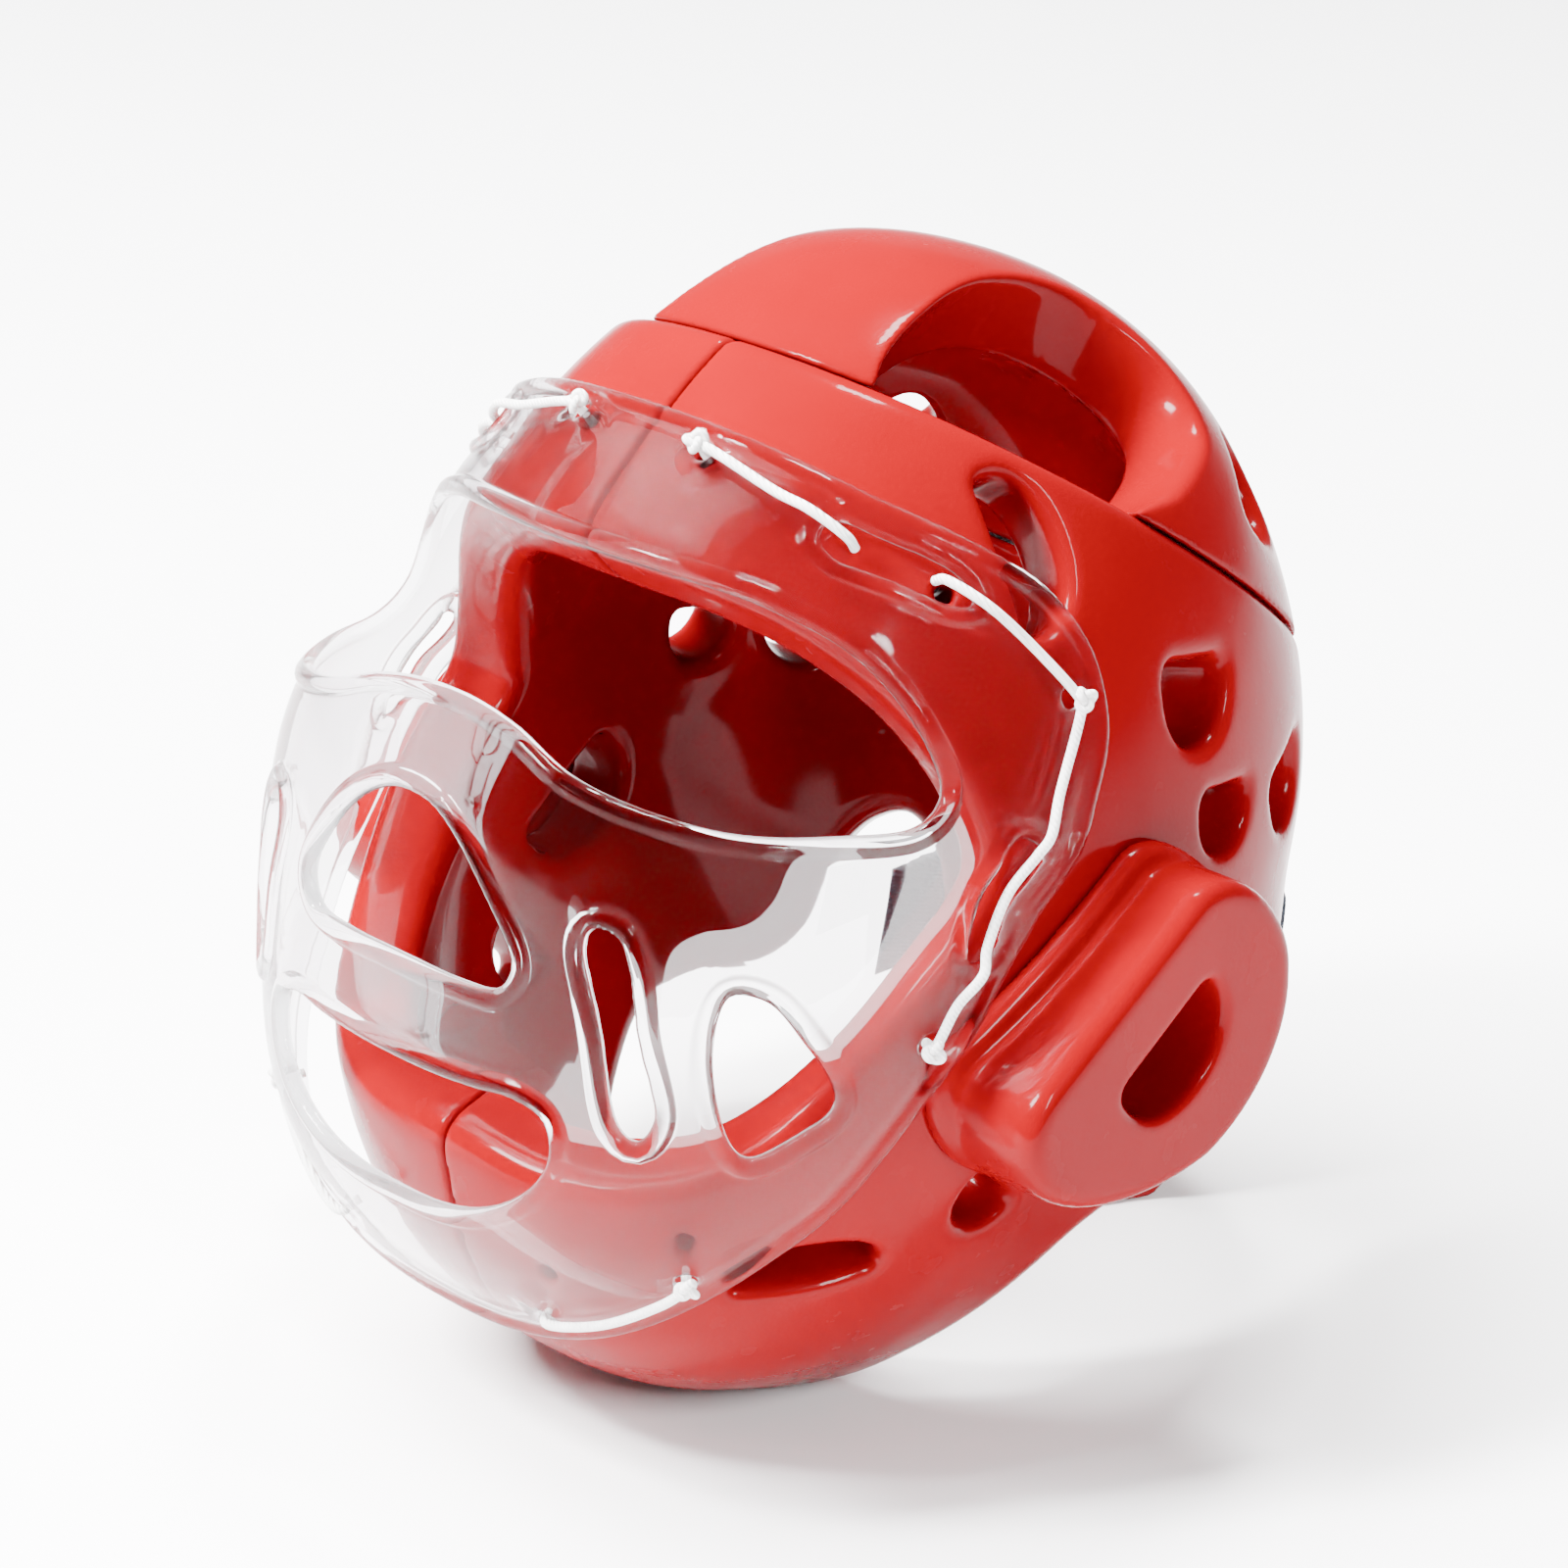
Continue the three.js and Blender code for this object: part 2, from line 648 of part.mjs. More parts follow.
function earPad() {
  const inside = HALF_WIDTH * 0.7;
  const face = HALF_WIDTH + PAD_THICKNESS;
  const geometry = new THREE.ExtrudeGeometry(padShape(PAD_LENGTH, PAD_DEPTH), {
    depth: face - inside - PAD_EDGE,
    bevelEnabled: true,
    bevelThickness: PAD_EDGE,
    bevelSize: PAD_EDGE,
    bevelOffset: -PAD_EDGE,
    bevelSegments: 2,
    curveSegments: 6,
  });
  geometry.applyMatrix4(padMatrix(inside));
  return toSolid(geometry).subtract(domeSolid(foam, PIECE_GAP)).subtract(earHoleCutter());
}

function foamShell(form) {
  const wall = domeSolid(form, 0).subtract(domeSolid(form, -FOAM_WALL, 32, 14));
  return wall.subtract(neckCutter()).subtract(floorCutter());
}

// Left half of the band, cheek and chin, with its vents
function foamHalf() {
  let solid = foamShell(foam).intersect(sideBox(PIECE_GAP / 2));
  solid = solid.subtract(aboveBand(-PIECE_GAP / 2));
  solid = solid.subtract(coneCutter(foam, smoothOutline(FACE_EDGE, 36, true), 0.4));
  solid = solid.subtract(earHoleCutter());
  for (const vent of VENTS) solid = solid.subtract(wallCutter(foam, vent, ventShape(vent), 4 * FOAM_WALL));
  for (const hole of FOAM_LACE_HOLES)
    solid = solid.subtract(wallCutter(foam, hole, roundShape(LACE_HOLE), 3 * FOAM_WALL, 4));
  return solid;
}

// Cutter for a crown opening, narrowing from the ridge to the inner edge
function crownCutter(side) {
  const count = 2 * CROWN_RIDGE.length;
  const at = (p, share) =>
    formPoint(crown, p.x, side * p.y).sub(centre).multiplyScalar(share).add(centre);
  const outer = outlineCurve(CROWN_RIDGE).getPoints(count).slice(0, count);
  const inner = outlineCurve(CROWN_INNER).getPoints(count).slice(0, count);
  const ends = outer.map((place, k) => {
    const high = at(place, 1);
    const low = at(inner[k], 1 - FOAM_WALL / REACH);
    const step = high.clone().sub(low);
    return { low: low.clone().addScaledVector(step, -0.8), high: high.clone().addScaledVector(step, 0.6) };
  });
  return loft(ends.map((end) => end.low), ends.map((end) => end.high));
}

function crownPanel() {
  let solid = foamShell(crown).intersect(aboveBand(PIECE_GAP / 2));
  for (const side of [-1, 1]) {
    solid = solid.subtract(crownCutter(side));
    for (const vent of VENTS) {
      const place = { ...vent, spread: side * vent.spread, turn: side * vent.turn };
      solid = solid.subtract(wallCutter(crown, place, ventShape(vent), 4 * FOAM_WALL));
    }
  }
  return solid;
}

// Raised edge along an outline, its section a low block with sloping sides set in the shield's wall
function edgeRing(outline, width, low, high) {
  const section = [
    { across: 0.5, lift: low },
    { across: 0.36, lift: high },
    { across: -0.36, lift: high },
    { across: -0.5, lift: low },
  ];
  const sides = section.length;
  const places = outline.map((place) => formPoint(shield, place.angle, place.spread));
  const count = places.length;
  const points = [];
  const triangles = [];
  places.forEach((place, k) => {
    const tangent = places[(k + 1) % count].clone().sub(places[(k + count - 1) % count]).normalize();
    const normal = formNormal(shield, outline[k].angle, outline[k].spread);
    normal.addScaledVector(tangent, -normal.dot(tangent)).normalize();
    const sideways = tangent.clone().cross(normal);
    for (const corner of section)
      points.push(
        place.clone().addScaledVector(sideways, corner.across * width).addScaledVector(normal, corner.lift),
      );
  });
  for (let k = 0; k < count; k += 1)
    for (let side = 0; side < sides; side += 1) {
      const here = k * sides + side;
      const beside = k * sides + ((side + 1) % sides);
      const next = ((k + 1) % count) * sides + side;
      const across = ((k + 1) % count) * sides + ((side + 1) % sides);
      triangles.push([here, beside, across], [here, across, next]);
    }
  return outwardSolid(points, triangles);
}

function faceShield() {
  const edge = smoothOutline(SHIELD_EDGE, 52, true);
  const openings = [
    smoothOutline(EYE_EDGE, 34, true),
    smoothOutline(NOSE_EDGE, 16, true),
    smoothOutline(MOUTH_EDGE, 18, true),
  ];
  for (const rows of Object.values(SIDE_OPENINGS))
    for (const side of [-1, 1])
      openings.push(smoothOutline(rows, 12).map((p) => ({ angle: p.angle, spread: side * p.spread })));
  let solid = domeSolid(shield, 0).subtract(domeSolid(shield, -SHIELD_WALL));
  for (const outline of [edge, ...openings])
    solid = solid.add(edgeRing(outline, 2 * LIP_WIDTH, -0.7 * SHIELD_WALL, EDGE_RISE));
  solid = solid.intersect(coneCutter(shield, edge, 0.5));
  for (const outline of openings) solid = solid.subtract(coneCutter(shield, outline, 0.7));
  for (const hole of SHIELD_LACE_HOLES)
    for (const side of [-1, 1]) {
      const place = { angle: hole.angle, spread: side * hole.spread };
      solid = solid.subtract(wallCutter(shield, place, roundShape(SHIELD_HOLE), 6 * SHIELD_WALL, 2));
    }
  return solid;
}

// Lace with its knots
function laceGeometry({ route, knots }) {
  const curve = new THREE.CatmullRomCurve3(route.map((place) => placeOn(shield, place)));
  let solid = toSolid(
    new THREE.ExtrudeGeometry(roundShape(LACE_DIAMETER), {
      steps: route.length * 2,
      extrudePath: curve,
      curveSegments: 3,
    }),
  );
  for (const knot of knots) {
    const ball = new THREE.SphereGeometry(KNOT_DIAMETER / 2, 7, 5);
    ball.translate(...placeOn(shield, knot).toArray());
    solid = solid.add(toSolid(ball));
  }
  return toGeometry(solid);
}

// Place on the back of the foam at a given side and height
function backPoint(x, z, lift) {
  const inside = (y) => {
    const angle = THREE.MathUtils.radToDeg(Math.atan2(z - CENTRE_HEIGHT, y));
    const square = profileAt(FOAM_PROFILE, "square", angle);
    const reach = profileAt(FOAM_PROFILE, "reach", angle) * REACH + lift;
    const share = Math.abs(x) / (HALF_WIDTH + lift);
    return share ** square + (Math.hypot(y, z - CENTRE_HEIGHT) / reach) ** square < 1;
  };
  let low = 0;
  let high = 2 * REACH;
  for (let k = 0; k < 40; k += 1) {
    const middle = (low + high) / 2;
    if (inside(middle)) low = middle;
    else high = middle;
  }
  return new THREE.Vector3(x, low, z);
}

function rearStrap() {
  const across = 14;
  const up = 3;
  const layer = (lift) => {
    const points = [];
    for (let i = 0; i <= across; i += 1) {
      const side = 1 - (2 * i) / across;
      const height = STRAP_MIDDLE + STRAP_TILT * side - STRAP_SAG * side ** 2;
      for (let j = 0; j <= up; j += 1)
        points.push(backPoint(STRAP_HALF_SPAN * side, height + STRAP_HEIGHT * (j / up - 0.5), lift));
    }
    return points;
  };
  const points = [...layer(2 * PIECE_GAP), ...layer(2 * PIECE_GAP + STRAP_THICKNESS)];
  const at = (i, j, top) => i * (up + 1) + j + (top ? (across + 1) * (up + 1) : 0);
  const triangles = [];
  const quad = (a, b, c, d) => triangles.push([a, b, c], [a, c, d]);
  for (let i = 0; i < across; i += 1) {
    for (let j = 0; j < up; j += 1) {
      quad(at(i, j, 1), at(i, j + 1, 1), at(i + 1, j + 1, 1), at(i + 1, j, 1));
      quad(at(i, j, 0), at(i + 1, j, 0), at(i + 1, j + 1, 0), at(i, j + 1, 0));
    }
    quad(at(i, 0, 0), at(i, 0, 1), at(i + 1, 0, 1), at(i + 1, 0, 0));
    quad(at(i, up, 0), at(i + 1, up, 0), at(i + 1, up, 1), at(i, up, 1));
  }
  for (let j = 0; j < up; j += 1) {
    quad(at(0, j, 0), at(0, j + 1, 0), at(0, j + 1, 1), at(0, j, 1));
    quad(at(across, j, 0), at(across, j, 1), at(across, j + 1, 1), at(across, j + 1, 0));
  }
  return toGeometry(outwardSolid(points, triangles));
}

const vinyl = new THREE.MeshStandardMaterial({ color: 0xc8141c, roughness: 0.28, metalness: 0 });
const clearPlastic = new THREE.MeshStandardMaterial({
  color: 0xe9e2f0,
  roughness: 0.06,
  metalness: 0,
  transparent: true,
  opacity: 0.3,
});
const cord = new THREE.MeshStandardMaterial({ color: 0xf1f0ee, roughness: 0.8, metalness: 0 });
const elastic = new THREE.MeshStandardMaterial({ color: 0x1b2028, roughness: 0.85, metalness: 0 });

const group = new THREE.Group();

function addPiece(name, geometry, material) {
  const mesh = new THREE.Mesh(geometry, material);
  mesh.name = name;
  group.add(mesh);
}

function addPair(name, geometry, material) {
  addPiece(name + "_left", geometry, material);
  addPiece(name + "_right", mirroredGeometry(geometry), material);
}

addPair("foam_half", toGeometry(foamHalf()), vinyl);
addPiece("crown_panel", toGeometry(crownPanel()), vinyl);
addPair("ear_pad", toGeometry(earPad()), vinyl);
addPiece("face_shield", toGeometry(faceShield()), clearPlastic);
for (const [name, lace] of Object.entries(LACES)) addPair(name, laceGeometry(lace), cord);
addPiece("rear_strap", rearStrap(), elastic);

// The origin is under the middle of the whole headgear, on the floor
const bounds = new THREE.Box3().setFromObject(group);
const middle = bounds.getCenter(new THREE.Vector3());
for (const mesh of group.children) mesh.geometry.translate(-middle.x, -middle.y, -bounds.min.z);

export default group;
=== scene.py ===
"""Sparring headgear: dipped foam shell, ear pads, clear laced face shield and rear strap, in a pale studio.

Lengths are millimetres, with the middle of the ear axis over the origin, until a piece is made in metres.
"""

import math

import bpy
import numpy as np
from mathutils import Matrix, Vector
from mathutils.geometry import delaunay_2d_cdt


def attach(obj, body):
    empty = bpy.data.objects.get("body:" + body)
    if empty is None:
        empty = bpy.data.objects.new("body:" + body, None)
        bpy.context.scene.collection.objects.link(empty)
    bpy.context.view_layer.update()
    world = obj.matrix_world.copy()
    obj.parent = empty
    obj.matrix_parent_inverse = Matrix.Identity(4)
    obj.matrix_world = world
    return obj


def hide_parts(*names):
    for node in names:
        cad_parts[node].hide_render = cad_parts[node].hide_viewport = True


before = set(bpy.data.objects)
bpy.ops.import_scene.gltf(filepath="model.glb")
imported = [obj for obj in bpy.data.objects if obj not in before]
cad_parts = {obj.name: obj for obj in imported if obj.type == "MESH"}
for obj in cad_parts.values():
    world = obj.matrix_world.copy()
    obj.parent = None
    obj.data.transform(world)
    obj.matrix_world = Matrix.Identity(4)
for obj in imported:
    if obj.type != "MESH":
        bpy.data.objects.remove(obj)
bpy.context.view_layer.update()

# Overall sizes, as in the part
HALF_WIDTH = 97.0
REACH = 130.0
CENTRE_HEIGHT = 120.0
FOAM_WALL = 20.0
PIECE_GAP = 0.3
BAND_LEAN = math.radians(35)
BAND_RISE = 83.5
PAD_LENGTH = 86.0
PAD_DEPTH = 59.0
PAD_THICKNESS = 22.0
PAD_SLANT = math.radians(34)
PAD_BACK = -15.0
PAD_DROP = 16.0
EAR_HOLE_LENGTH = 34.0
EAR_HOLE_DEPTH = 19.0
EAR_HOLE_SHIFT = 3.0
VENT_SIZE = 20.0
SHIELD_SIDE_ROOM = 5.0
SHIELD_HALF_WIDTH = HALF_WIDTH + SHIELD_SIDE_ROOM
SHIELD_WALL = 2.6
SHIELD_HOLE = 5.0
BEAD_RADIUS = 2.5
BAND_ROUNDING = 3.5
LACE_HOLE = 4.6
LACE_DIAMETER = 2.2
STRAP_HEIGHT = 28.0
STRAP_THICKNESS = 2.0
STRAP_HALF_SPAN = 63.0
STRAP_MIDDLE = 72.0
STRAP_TILT = 16.5
STRAP_SAG = 10.5

# Widths over which two faces blend into each other at an edge
WALL_BLEND = 4
FACE_ROUNDING = 7
NECK_ROUNDING = 6
VENT_ROUNDING = 3.5
HOLE_ROUNDING = 1.2
EAR_ROUNDING = 4
SEAM_ROUNDING = 1.2
FOOT_ROUNDING = 1.5
CROWN_EDGE_ROUNDING = 2.4
CROWN_SEAM_ROUNDING = 0.8
PAD_ROUNDING = 5
PAD_HOLE_ROUNDING = 3
PAD_SEAT_ROUNDING = 0.8

# Swollen lip at a vent's mouth: size, depth of its middle and span
LIP_SIZE, LIP_DEPTH, LIP_SPAN = 0.8, 1, 3.0

# Room left round a vent in which its cut is worked out
VENT_MARGIN = 22

# How hollow the crown opening's slanted face is, as a share of its run
BOWL = 0.16

# Shoulder that the pad stands on: width and height, blends, and where it fades in along and across the pad
SHOULDER_WIDTH, SHOULDER_HEIGHT = 5, 5.5
SHOULDER_ROUNDING, SHOULDER_BLEND = 4, 2.5
SHOULDER_START, SHOULDER_RISE = -4, 26
SHOULDER_HALF_LENGTH, SHOULDER_FADE = 52, 20

# Shield's rolled edge as shares of its radius, and the shallow dips beside it
BEAD_OUT, BEAD_IN = 1.1, 0.62
OUTER_DIP, INNER_DIP = 0.12, 0.25

# Knot: how wide and how high its cord's run is drawn, and how far it sinks
KNOT_SPREAD, KNOT_HEIGHT, KNOT_SINK = 0.72, 0.75, 0.3

# Strap's section: how square its sides and how round its faces are
STRAP_SQUARE, STRAP_ROUND = 0.35, 0.8

# Boxes in which the foam pieces are worked out
HALF_LOW, HALF_HIGH = (-3, -150, -3), (101, 126, 262)
CROWN_BACK, CROWN_FOOT, CROWN_HIGH = -50, 125, (101, 126, 262)
PAD_LOW, PAD_HIGH = (60, -62, 52), (123, 42, 158)

# Spacing of the surface's points
FOAM_STEP, CROWN_STEP, PAD_STEP = 1.45, 1.0, 0.9
SHIELD_SPACING = 3.6
RIM_SPACING, OPENING_SPACING, HOLE_SPACING = 1.5, 1.3, 0.7
BEAD_ROWS = (0.2, 0.7, 1.5, 2.5, 3.5, 4.2, 4.75, 5.4, 6.6)
HOLE_ROWS = (0.45, 1.1)

# Shield: how far from an edge its plain part starts, the angles and spread it covers, its flat map's radius
PLAIN_MARGIN = 7.2
SHIELD_SPAN, SHIELD_SPREAD = (96, 220), 82
FLAT_RADIUS = 120

# Angles between which each opening's distance map is worked out
FACE_SPAN, NECK_SPAN, CROWN_SPAN = (110, 220), (-128, -8), (40, 125)

# The photograph's viewing angle, and the camera's distance and aim in metres, its lens and shift
AZIMUTH, ELEVATION, DISTANCE = math.radians(46), math.radians(23), 1.019
AIM_FORWARD, AIM_HEIGHT = 0.015, 0.130
FRAME_WIDTH, LENS, SHIFT_UP, FAR_CLIP = 36, 101.25, 0.00625, 60

# Soft boxes: metres to the left, toward the camera and up, width, height, watts
KEY_BOX = (0.95, 0.35, 1.2, 0.26, 0.44, 130)
TOP_BOX = (-0.15, -0.35, 1.6, 0.28, 0.28, 60)
FRONT_BOX = (-0.55, 1.2, 0.95, 0.14, 0.5, 30)
TOP_FILL = (1.2, -0.4, 2.4, 1.9, 1.9, 560)
FILL_AIM_BACK = 0.3

# Brightness of the even surround
SURROUND = 0.32

# How far the part's frame moves the ear axis back from the origin
ORIGIN_BACK = 8.584

# Foam form: angle round the ear axis, reach as a share of REACH, squareness
FOAM_PROFILE = [
    (-168, 0.95, 2.35), (-158, 0.992, 2.4), (-139, 1.067, 2.4), (-128, 1.07, 2.3), (-116, 1.046, 2.2),
    (-104, 1.035, 2.2), (-88, 1.1, 2.2), (-73, 1.17, 2.2), (-60, 1.208, 2.2), (-48, 1.12, 2.2),
    (-35, 0.985, 2.2), (-13, 0.885, 2.2), (4, 0.908, 2.2), (20, 0.942, 2.2), (36, 0.98, 2.2),
    (54, 1.031, 2.2), (71, 1.054, 2.2), (84, 1.05, 2.2), (96, 1.018, 2.15), (108, 0.968, 2.15),
    (122, 0.915, 2.15), (142, 0.877, 2.2), (170, 0.9, 2.3),
]
CROWN_PROFILE = [(a, r - 0.026 * max(0, 1 - abs(a - 108) / 20), n) for a, r, n in FOAM_PROFILE]
SHIELD_PROFILE = [
    (-174, 1.022, 2.8), (-159, 1.098, 2.7), (-148, 1.11, 2.6), (-138, 1.098, 2.5), (-120, 1.09, 2.3),
    (-90, 1.15, 2.2), (-50, 1.1, 2.2), (0, 0.95, 2.2), (50, 1.05, 2.2), (85, 1.09, 2.2), (100, 1.04, 2.2),
    (108, 1.0, 2.2), (114, 0.976, 2.2), (120, 0.956, 2.2), (130, 0.936, 2.25), (142, 0.962, 2.35),
    (153, 1.005, 2.5), (162, 1.018, 2.6), (174, 1.0, 2.8),
]

# Outlines on a form, as angle and spread from the middle of the top edge to the middle of the bottom edge
FACE_EDGE = [
    (131, 0), (130, 18), (129, 34), (130, 48), (135, 59), (146, 66), (160, 66), (174, 62), (186, 56),
    (194, 48), (199, 37), (200, 24), (199, 12), (197.5, 0),
]
# Third column: how much further the edge is trimmed on the outer surface than on the inner one
NECK_EDGE = [
    (-108, 0, 0), (-108, 14, 0), (-107, 26, 0), (-105.4, 36, 1), (-95, 50, 6.5), (-87, 55.5, 6),
    (-79, 57, 5), (-71, 56.5, 5), (-64, 54, 7), (-57, 51, 7.5), (-50, 48.5, 5), (-43, 47.5, 2),
    (-36, 45.5, 0), (-29, 41, 0), (-26, 35, 0), (-30, 29.5, 0), (-38, 26, 0), (-46, 24, 0),
    (-52, 21, 0), (-56, 17, 0), (-63, 12, 0), (-65, 0, 0),
]
SHIELD_EDGE = [
    (115.5, 0), (114.5, 17), (112, 31), (107, 43), (101, 54), (98.5, 62), (101, 68.5), (116, 73.5),
    (139, 76), (165, 76.5), (185, 73), (197, 65.5), (204, 57), (207.5, 46), (210.5, 34), (213, 22),
    (214.5, 9), (215, 0),
]
EYE_EDGE = [
    (132.5, 0), (131.5, 14), (129.5, 28), (128.7, 41), (132, 51.5), (138, 57.5), (145.5, 57), (151, 49),
    (154, 40), (154.8, 28), (154, 17), (151.5, 8), (150.5, 0),
]
NOSE_EDGE = [(161, 0), (163, 4.5), (168.5, 9.5), (173.5, 12.3), (176.3, 10.5), (177, 5), (177, 0)]
MOUTH_EDGE = [
    (187.3, 0), (187, 8), (186.8, 13.5), (188.3, 18), (191.5, 19), (195, 16.5), (198.5, 9), (199.8, 0),
]
SIDE_OPENINGS = [
    [(167.8, 23.5), (168, 27), (178, 30), (187, 33), (189.3, 31), (187.5, 28), (178, 24.8), (170, 22.3)],
    [(172.5, 42), (173, 47), (179, 52.5), (185, 56), (189, 56.5), (191.5, 51.5), (192.5, 46), (189.5, 43),
     (179, 40.3)],
    [(119.3, 28.2), (117.3, 28.5), (115, 35), (111.3, 45.3), (112.2, 47.5), (114.7, 45.8), (118, 38.5),
     (120.5, 31)],
    [(136, 68.6), (135, 71.4), (152, 73), (165.5, 73.3), (167, 71.4), (158, 69.8), (147, 68.9)],
]
CROWN_RIDGE = [
    (101, 21), (89, 16), (79, 14), (68, 16), (60, 26), (58, 36), (68, 47), (80, 50.5), (91, 58), (101, 49),
    (108, 34),
]
CROWN_INNER = [
    (100, 13.5), (90, 11), (81, 11), (73, 13), (64, 19), (59, 26), (62, 34), (70, 42), (80, 49), (94, 50),
    (106, 33),
]

# Air vents: angle, spread, length and width as shares of VENT_SIZE, turn of the long side
VENTS = [
    (63, 69, 1.1, 0.95, 20), (11, 58, 1.1, 0.85, 100), (30, 75, 0.9, 0.7, 60), (98, 48.5, 1.8, 0.7, 68),
    (44, 35, 1.25, 1.0, 100), (-126, 64, 0.85, 0.6, 150), (-143, 46.5, 1.65, 0.5, 72),
]
FOAM_LACE_HOLES = [(118, 9.5), (112.8, 44.5), (207, 33), (211, 12)]
SHIELD_LACE_HOLES = [(118.2, 9.5), (106.6, 63), (183, 68), (206.5, 36), (211, 14)]

# Lace runs on the left side: angle, spread and lift on the shield, then its knots
LACES = {
    "lace_forehead": (
        [(118.2, 9.5, -4.5), (118.2, 9.8, 1.2), (118.3, 13, 1.6), (118.6, 21, 1.6), (118.4, 26, 3.6),
         (118, 31, 1.6), (117.8, 32.5, -2.6)],
        [(118.2, 9, 2.6)],
    ),
    "lace_temple": (
        [(113.6, 42.5, -3.5), (113.4, 43.5, 1.4), (112, 48.6, 4), (109.5, 55, 1.8), (106.4, 62.8, 1.6),
         (107.5, 64.4, 1.6), (122, 68, 1.7), (132.5, 69.7, 3.6), (138.5, 70.6, 1.9), (150, 71.2, 1.2),
         (162.5, 71.8, 1.9), (168.5, 71.8, 3.6), (175, 70.2, 1.8), (181.5, 68.5, 1.6), (182.9, 68.1, 0.8),
         (183, 68, -2.2)],
        [(105.6, 63.6, 2.6), (183.4, 67.8, 2.6)],
    ),
    "lace_chin": (
        [(206.5, 36, -4.2), (206.6, 35.6, 1.0), (208, 31.5, 1.6), (210, 23, 1.6), (210.9, 14.9, 1.2),
         (211, 14, -4.2)],
        [(206.1, 36.3, 2.6)],
    ),
}


class Form:
    """A dome about the ear axis: each rib between the ears is a superellipse."""

    def __init__(self, profile, half_width):
        rows = np.array(sorted(profile), float)
        self.angles = np.concatenate([rows[:, 0] - 360, rows[:, 0], rows[:, 0] + 360])
        self.reach_rows = np.tile(rows[:, 1] * REACH, 3)
        self.square_rows = np.tile(rows[:, 2], 3)
        self.half_width = half_width
        self.fine = np.arange(-180, 180.01, 0.25)
        self.fine_reach = self._smooth(self.reach_rows, self.fine)
        self.fine_square = self._smooth(self.square_rows, self.fine)

    def _smooth(self, values, angle):
        a = self.angles
        slopes = np.empty_like(values)
        slopes[1:-1] = (values[2:] - values[:-2]) / (a[2:] - a[:-2])
        slopes[[0, -1]] = 0
        i = np.clip(np.searchsorted(a, angle, side="right") - 1, 1, len(a) - 3)
        h = a[i + 1] - a[i]
        s = (angle - a[i]) / h
        return (
            (2 * s**3 - 3 * s**2 + 1) * values[i]
            + (s**3 - 2 * s**2 + s) * h * slopes[i]
            + (3 * s**2 - 2 * s**3) * values[i + 1]
            + (s**3 - s**2) * h * slopes[i + 1]
        )

    def reach(self, angle):
        return np.interp((np.asarray(angle) + 180) % 360 - 180, self.fine, self.fine_reach)

    def square(self, angle):
        return np.interp((np.asarray(angle) + 180) % 360 - 180, self.fine, self.fine_square)

    def point(self, angle, spread, lift=0.0):
        angle, spread = np.asarray(angle, float), np.asarray(spread, float)
        power = 2 / self.square(angle)
        turn, tip = np.radians(angle), np.radians(spread)
        out = np.abs(np.cos(tip)) ** power * (self.reach(angle) + lift)
        side = np.sign(spread) * np.abs(np.sin(tip)) ** power * (self.half_width + lift)
        return np.stack([side, np.cos(turn) * out, np.sin(turn) * out + CENTRE_HEIGHT], -1)

    def normal(self, angle, spread):
        along = self.point(np.add(angle, 0.5), spread) - self.point(np.subtract(angle, 0.5), spread)
        across = self.point(angle, np.add(spread, 0.5)) - self.point(angle, np.subtract(spread, 0.5))
        n = np.cross(along, across)
        n /= np.linalg.norm(n, axis=-1, keepdims=True) + 1e-12
        outward = self.point(angle, spread) - [0, 0, CENTRE_HEIGHT]
        return n * np.sign((n * outward).sum(-1, keepdims=True))

    def place(self, angle, spread, lift):
        return self.point(angle, spread) + self.normal(angle, spread) * np.asarray(lift)[..., None]

    def polar(self, x, y, z, lift=0.0):
        """Angle, spread and size relative to the surface at that lift, which is 1 on it."""
        angle = np.degrees(np.arctan2(z - CENTRE_HEIGHT, y))
        n = self.square(angle)
        side = np.abs(x) / (self.half_width + lift)
        size = (side**n + (np.hypot(y, z - CENTRE_HEIGHT) / (self.reach(angle) + lift)) ** n) ** (1 / n)
        share = np.clip(side / np.maximum(size, 1e-6), 0, 1) ** (n / 2)
        return angle, np.sign(x) * np.degrees(np.arcsin(share)), size


FOAM = Form(FOAM_PROFILE, HALF_WIDTH)
CROWN = Form(CROWN_PROFILE, HALF_WIDTH)
SHIELD = Form(SHIELD_PROFILE, SHIELD_HALF_WIDTH)


def closed_curve(rows, per_span=12, half=False):
    """Smooth closed outline through rows; a half outline is completed with its mirror image."""
    rows = list(rows)
    if half:
        rows += [(a, -s) for a, s in rows[-2:0:-1]]
    p = np.array(rows, float)
    t = np.linspace(0, 1, per_span, endpoint=False)[None, :, None]
    p0, p1, p2, p3 = (np.roll(p, k, axis=0)[:, None] for k in (1, 0, -1, -2))
    # centripetal spacing keeps the curve from overshooting at short spans
    d1 = np.sqrt(np.linalg.norm(p2 - p1, axis=-1, keepdims=True))
    d0 = np.sqrt(np.linalg.norm(p1 - p0, axis=-1, keepdims=True))
    d2 = np.sqrt(np.linalg.norm(p3 - p2, axis=-1, keepdims=True))
    m1 = (p1 - p0) / d0 - (p2 - p0) / (d0 + d1) + (p2 - p1) / d1
    m2 = (p2 - p1) / d1 - (p3 - p1) / (d1 + d2) + (p3 - p2) / d2
    m1, m2 = m1 * d1, m2 * d1
    q = (
        (2 * t**3 - 3 * t**2 + 1) * p1 + (t**3 - 2 * t**2 + t) * m1
        + (3 * t**2 - 2 * t**3) * p2 + (t**3 - t**2) * m2
    )
    return q.reshape(-1, 2)


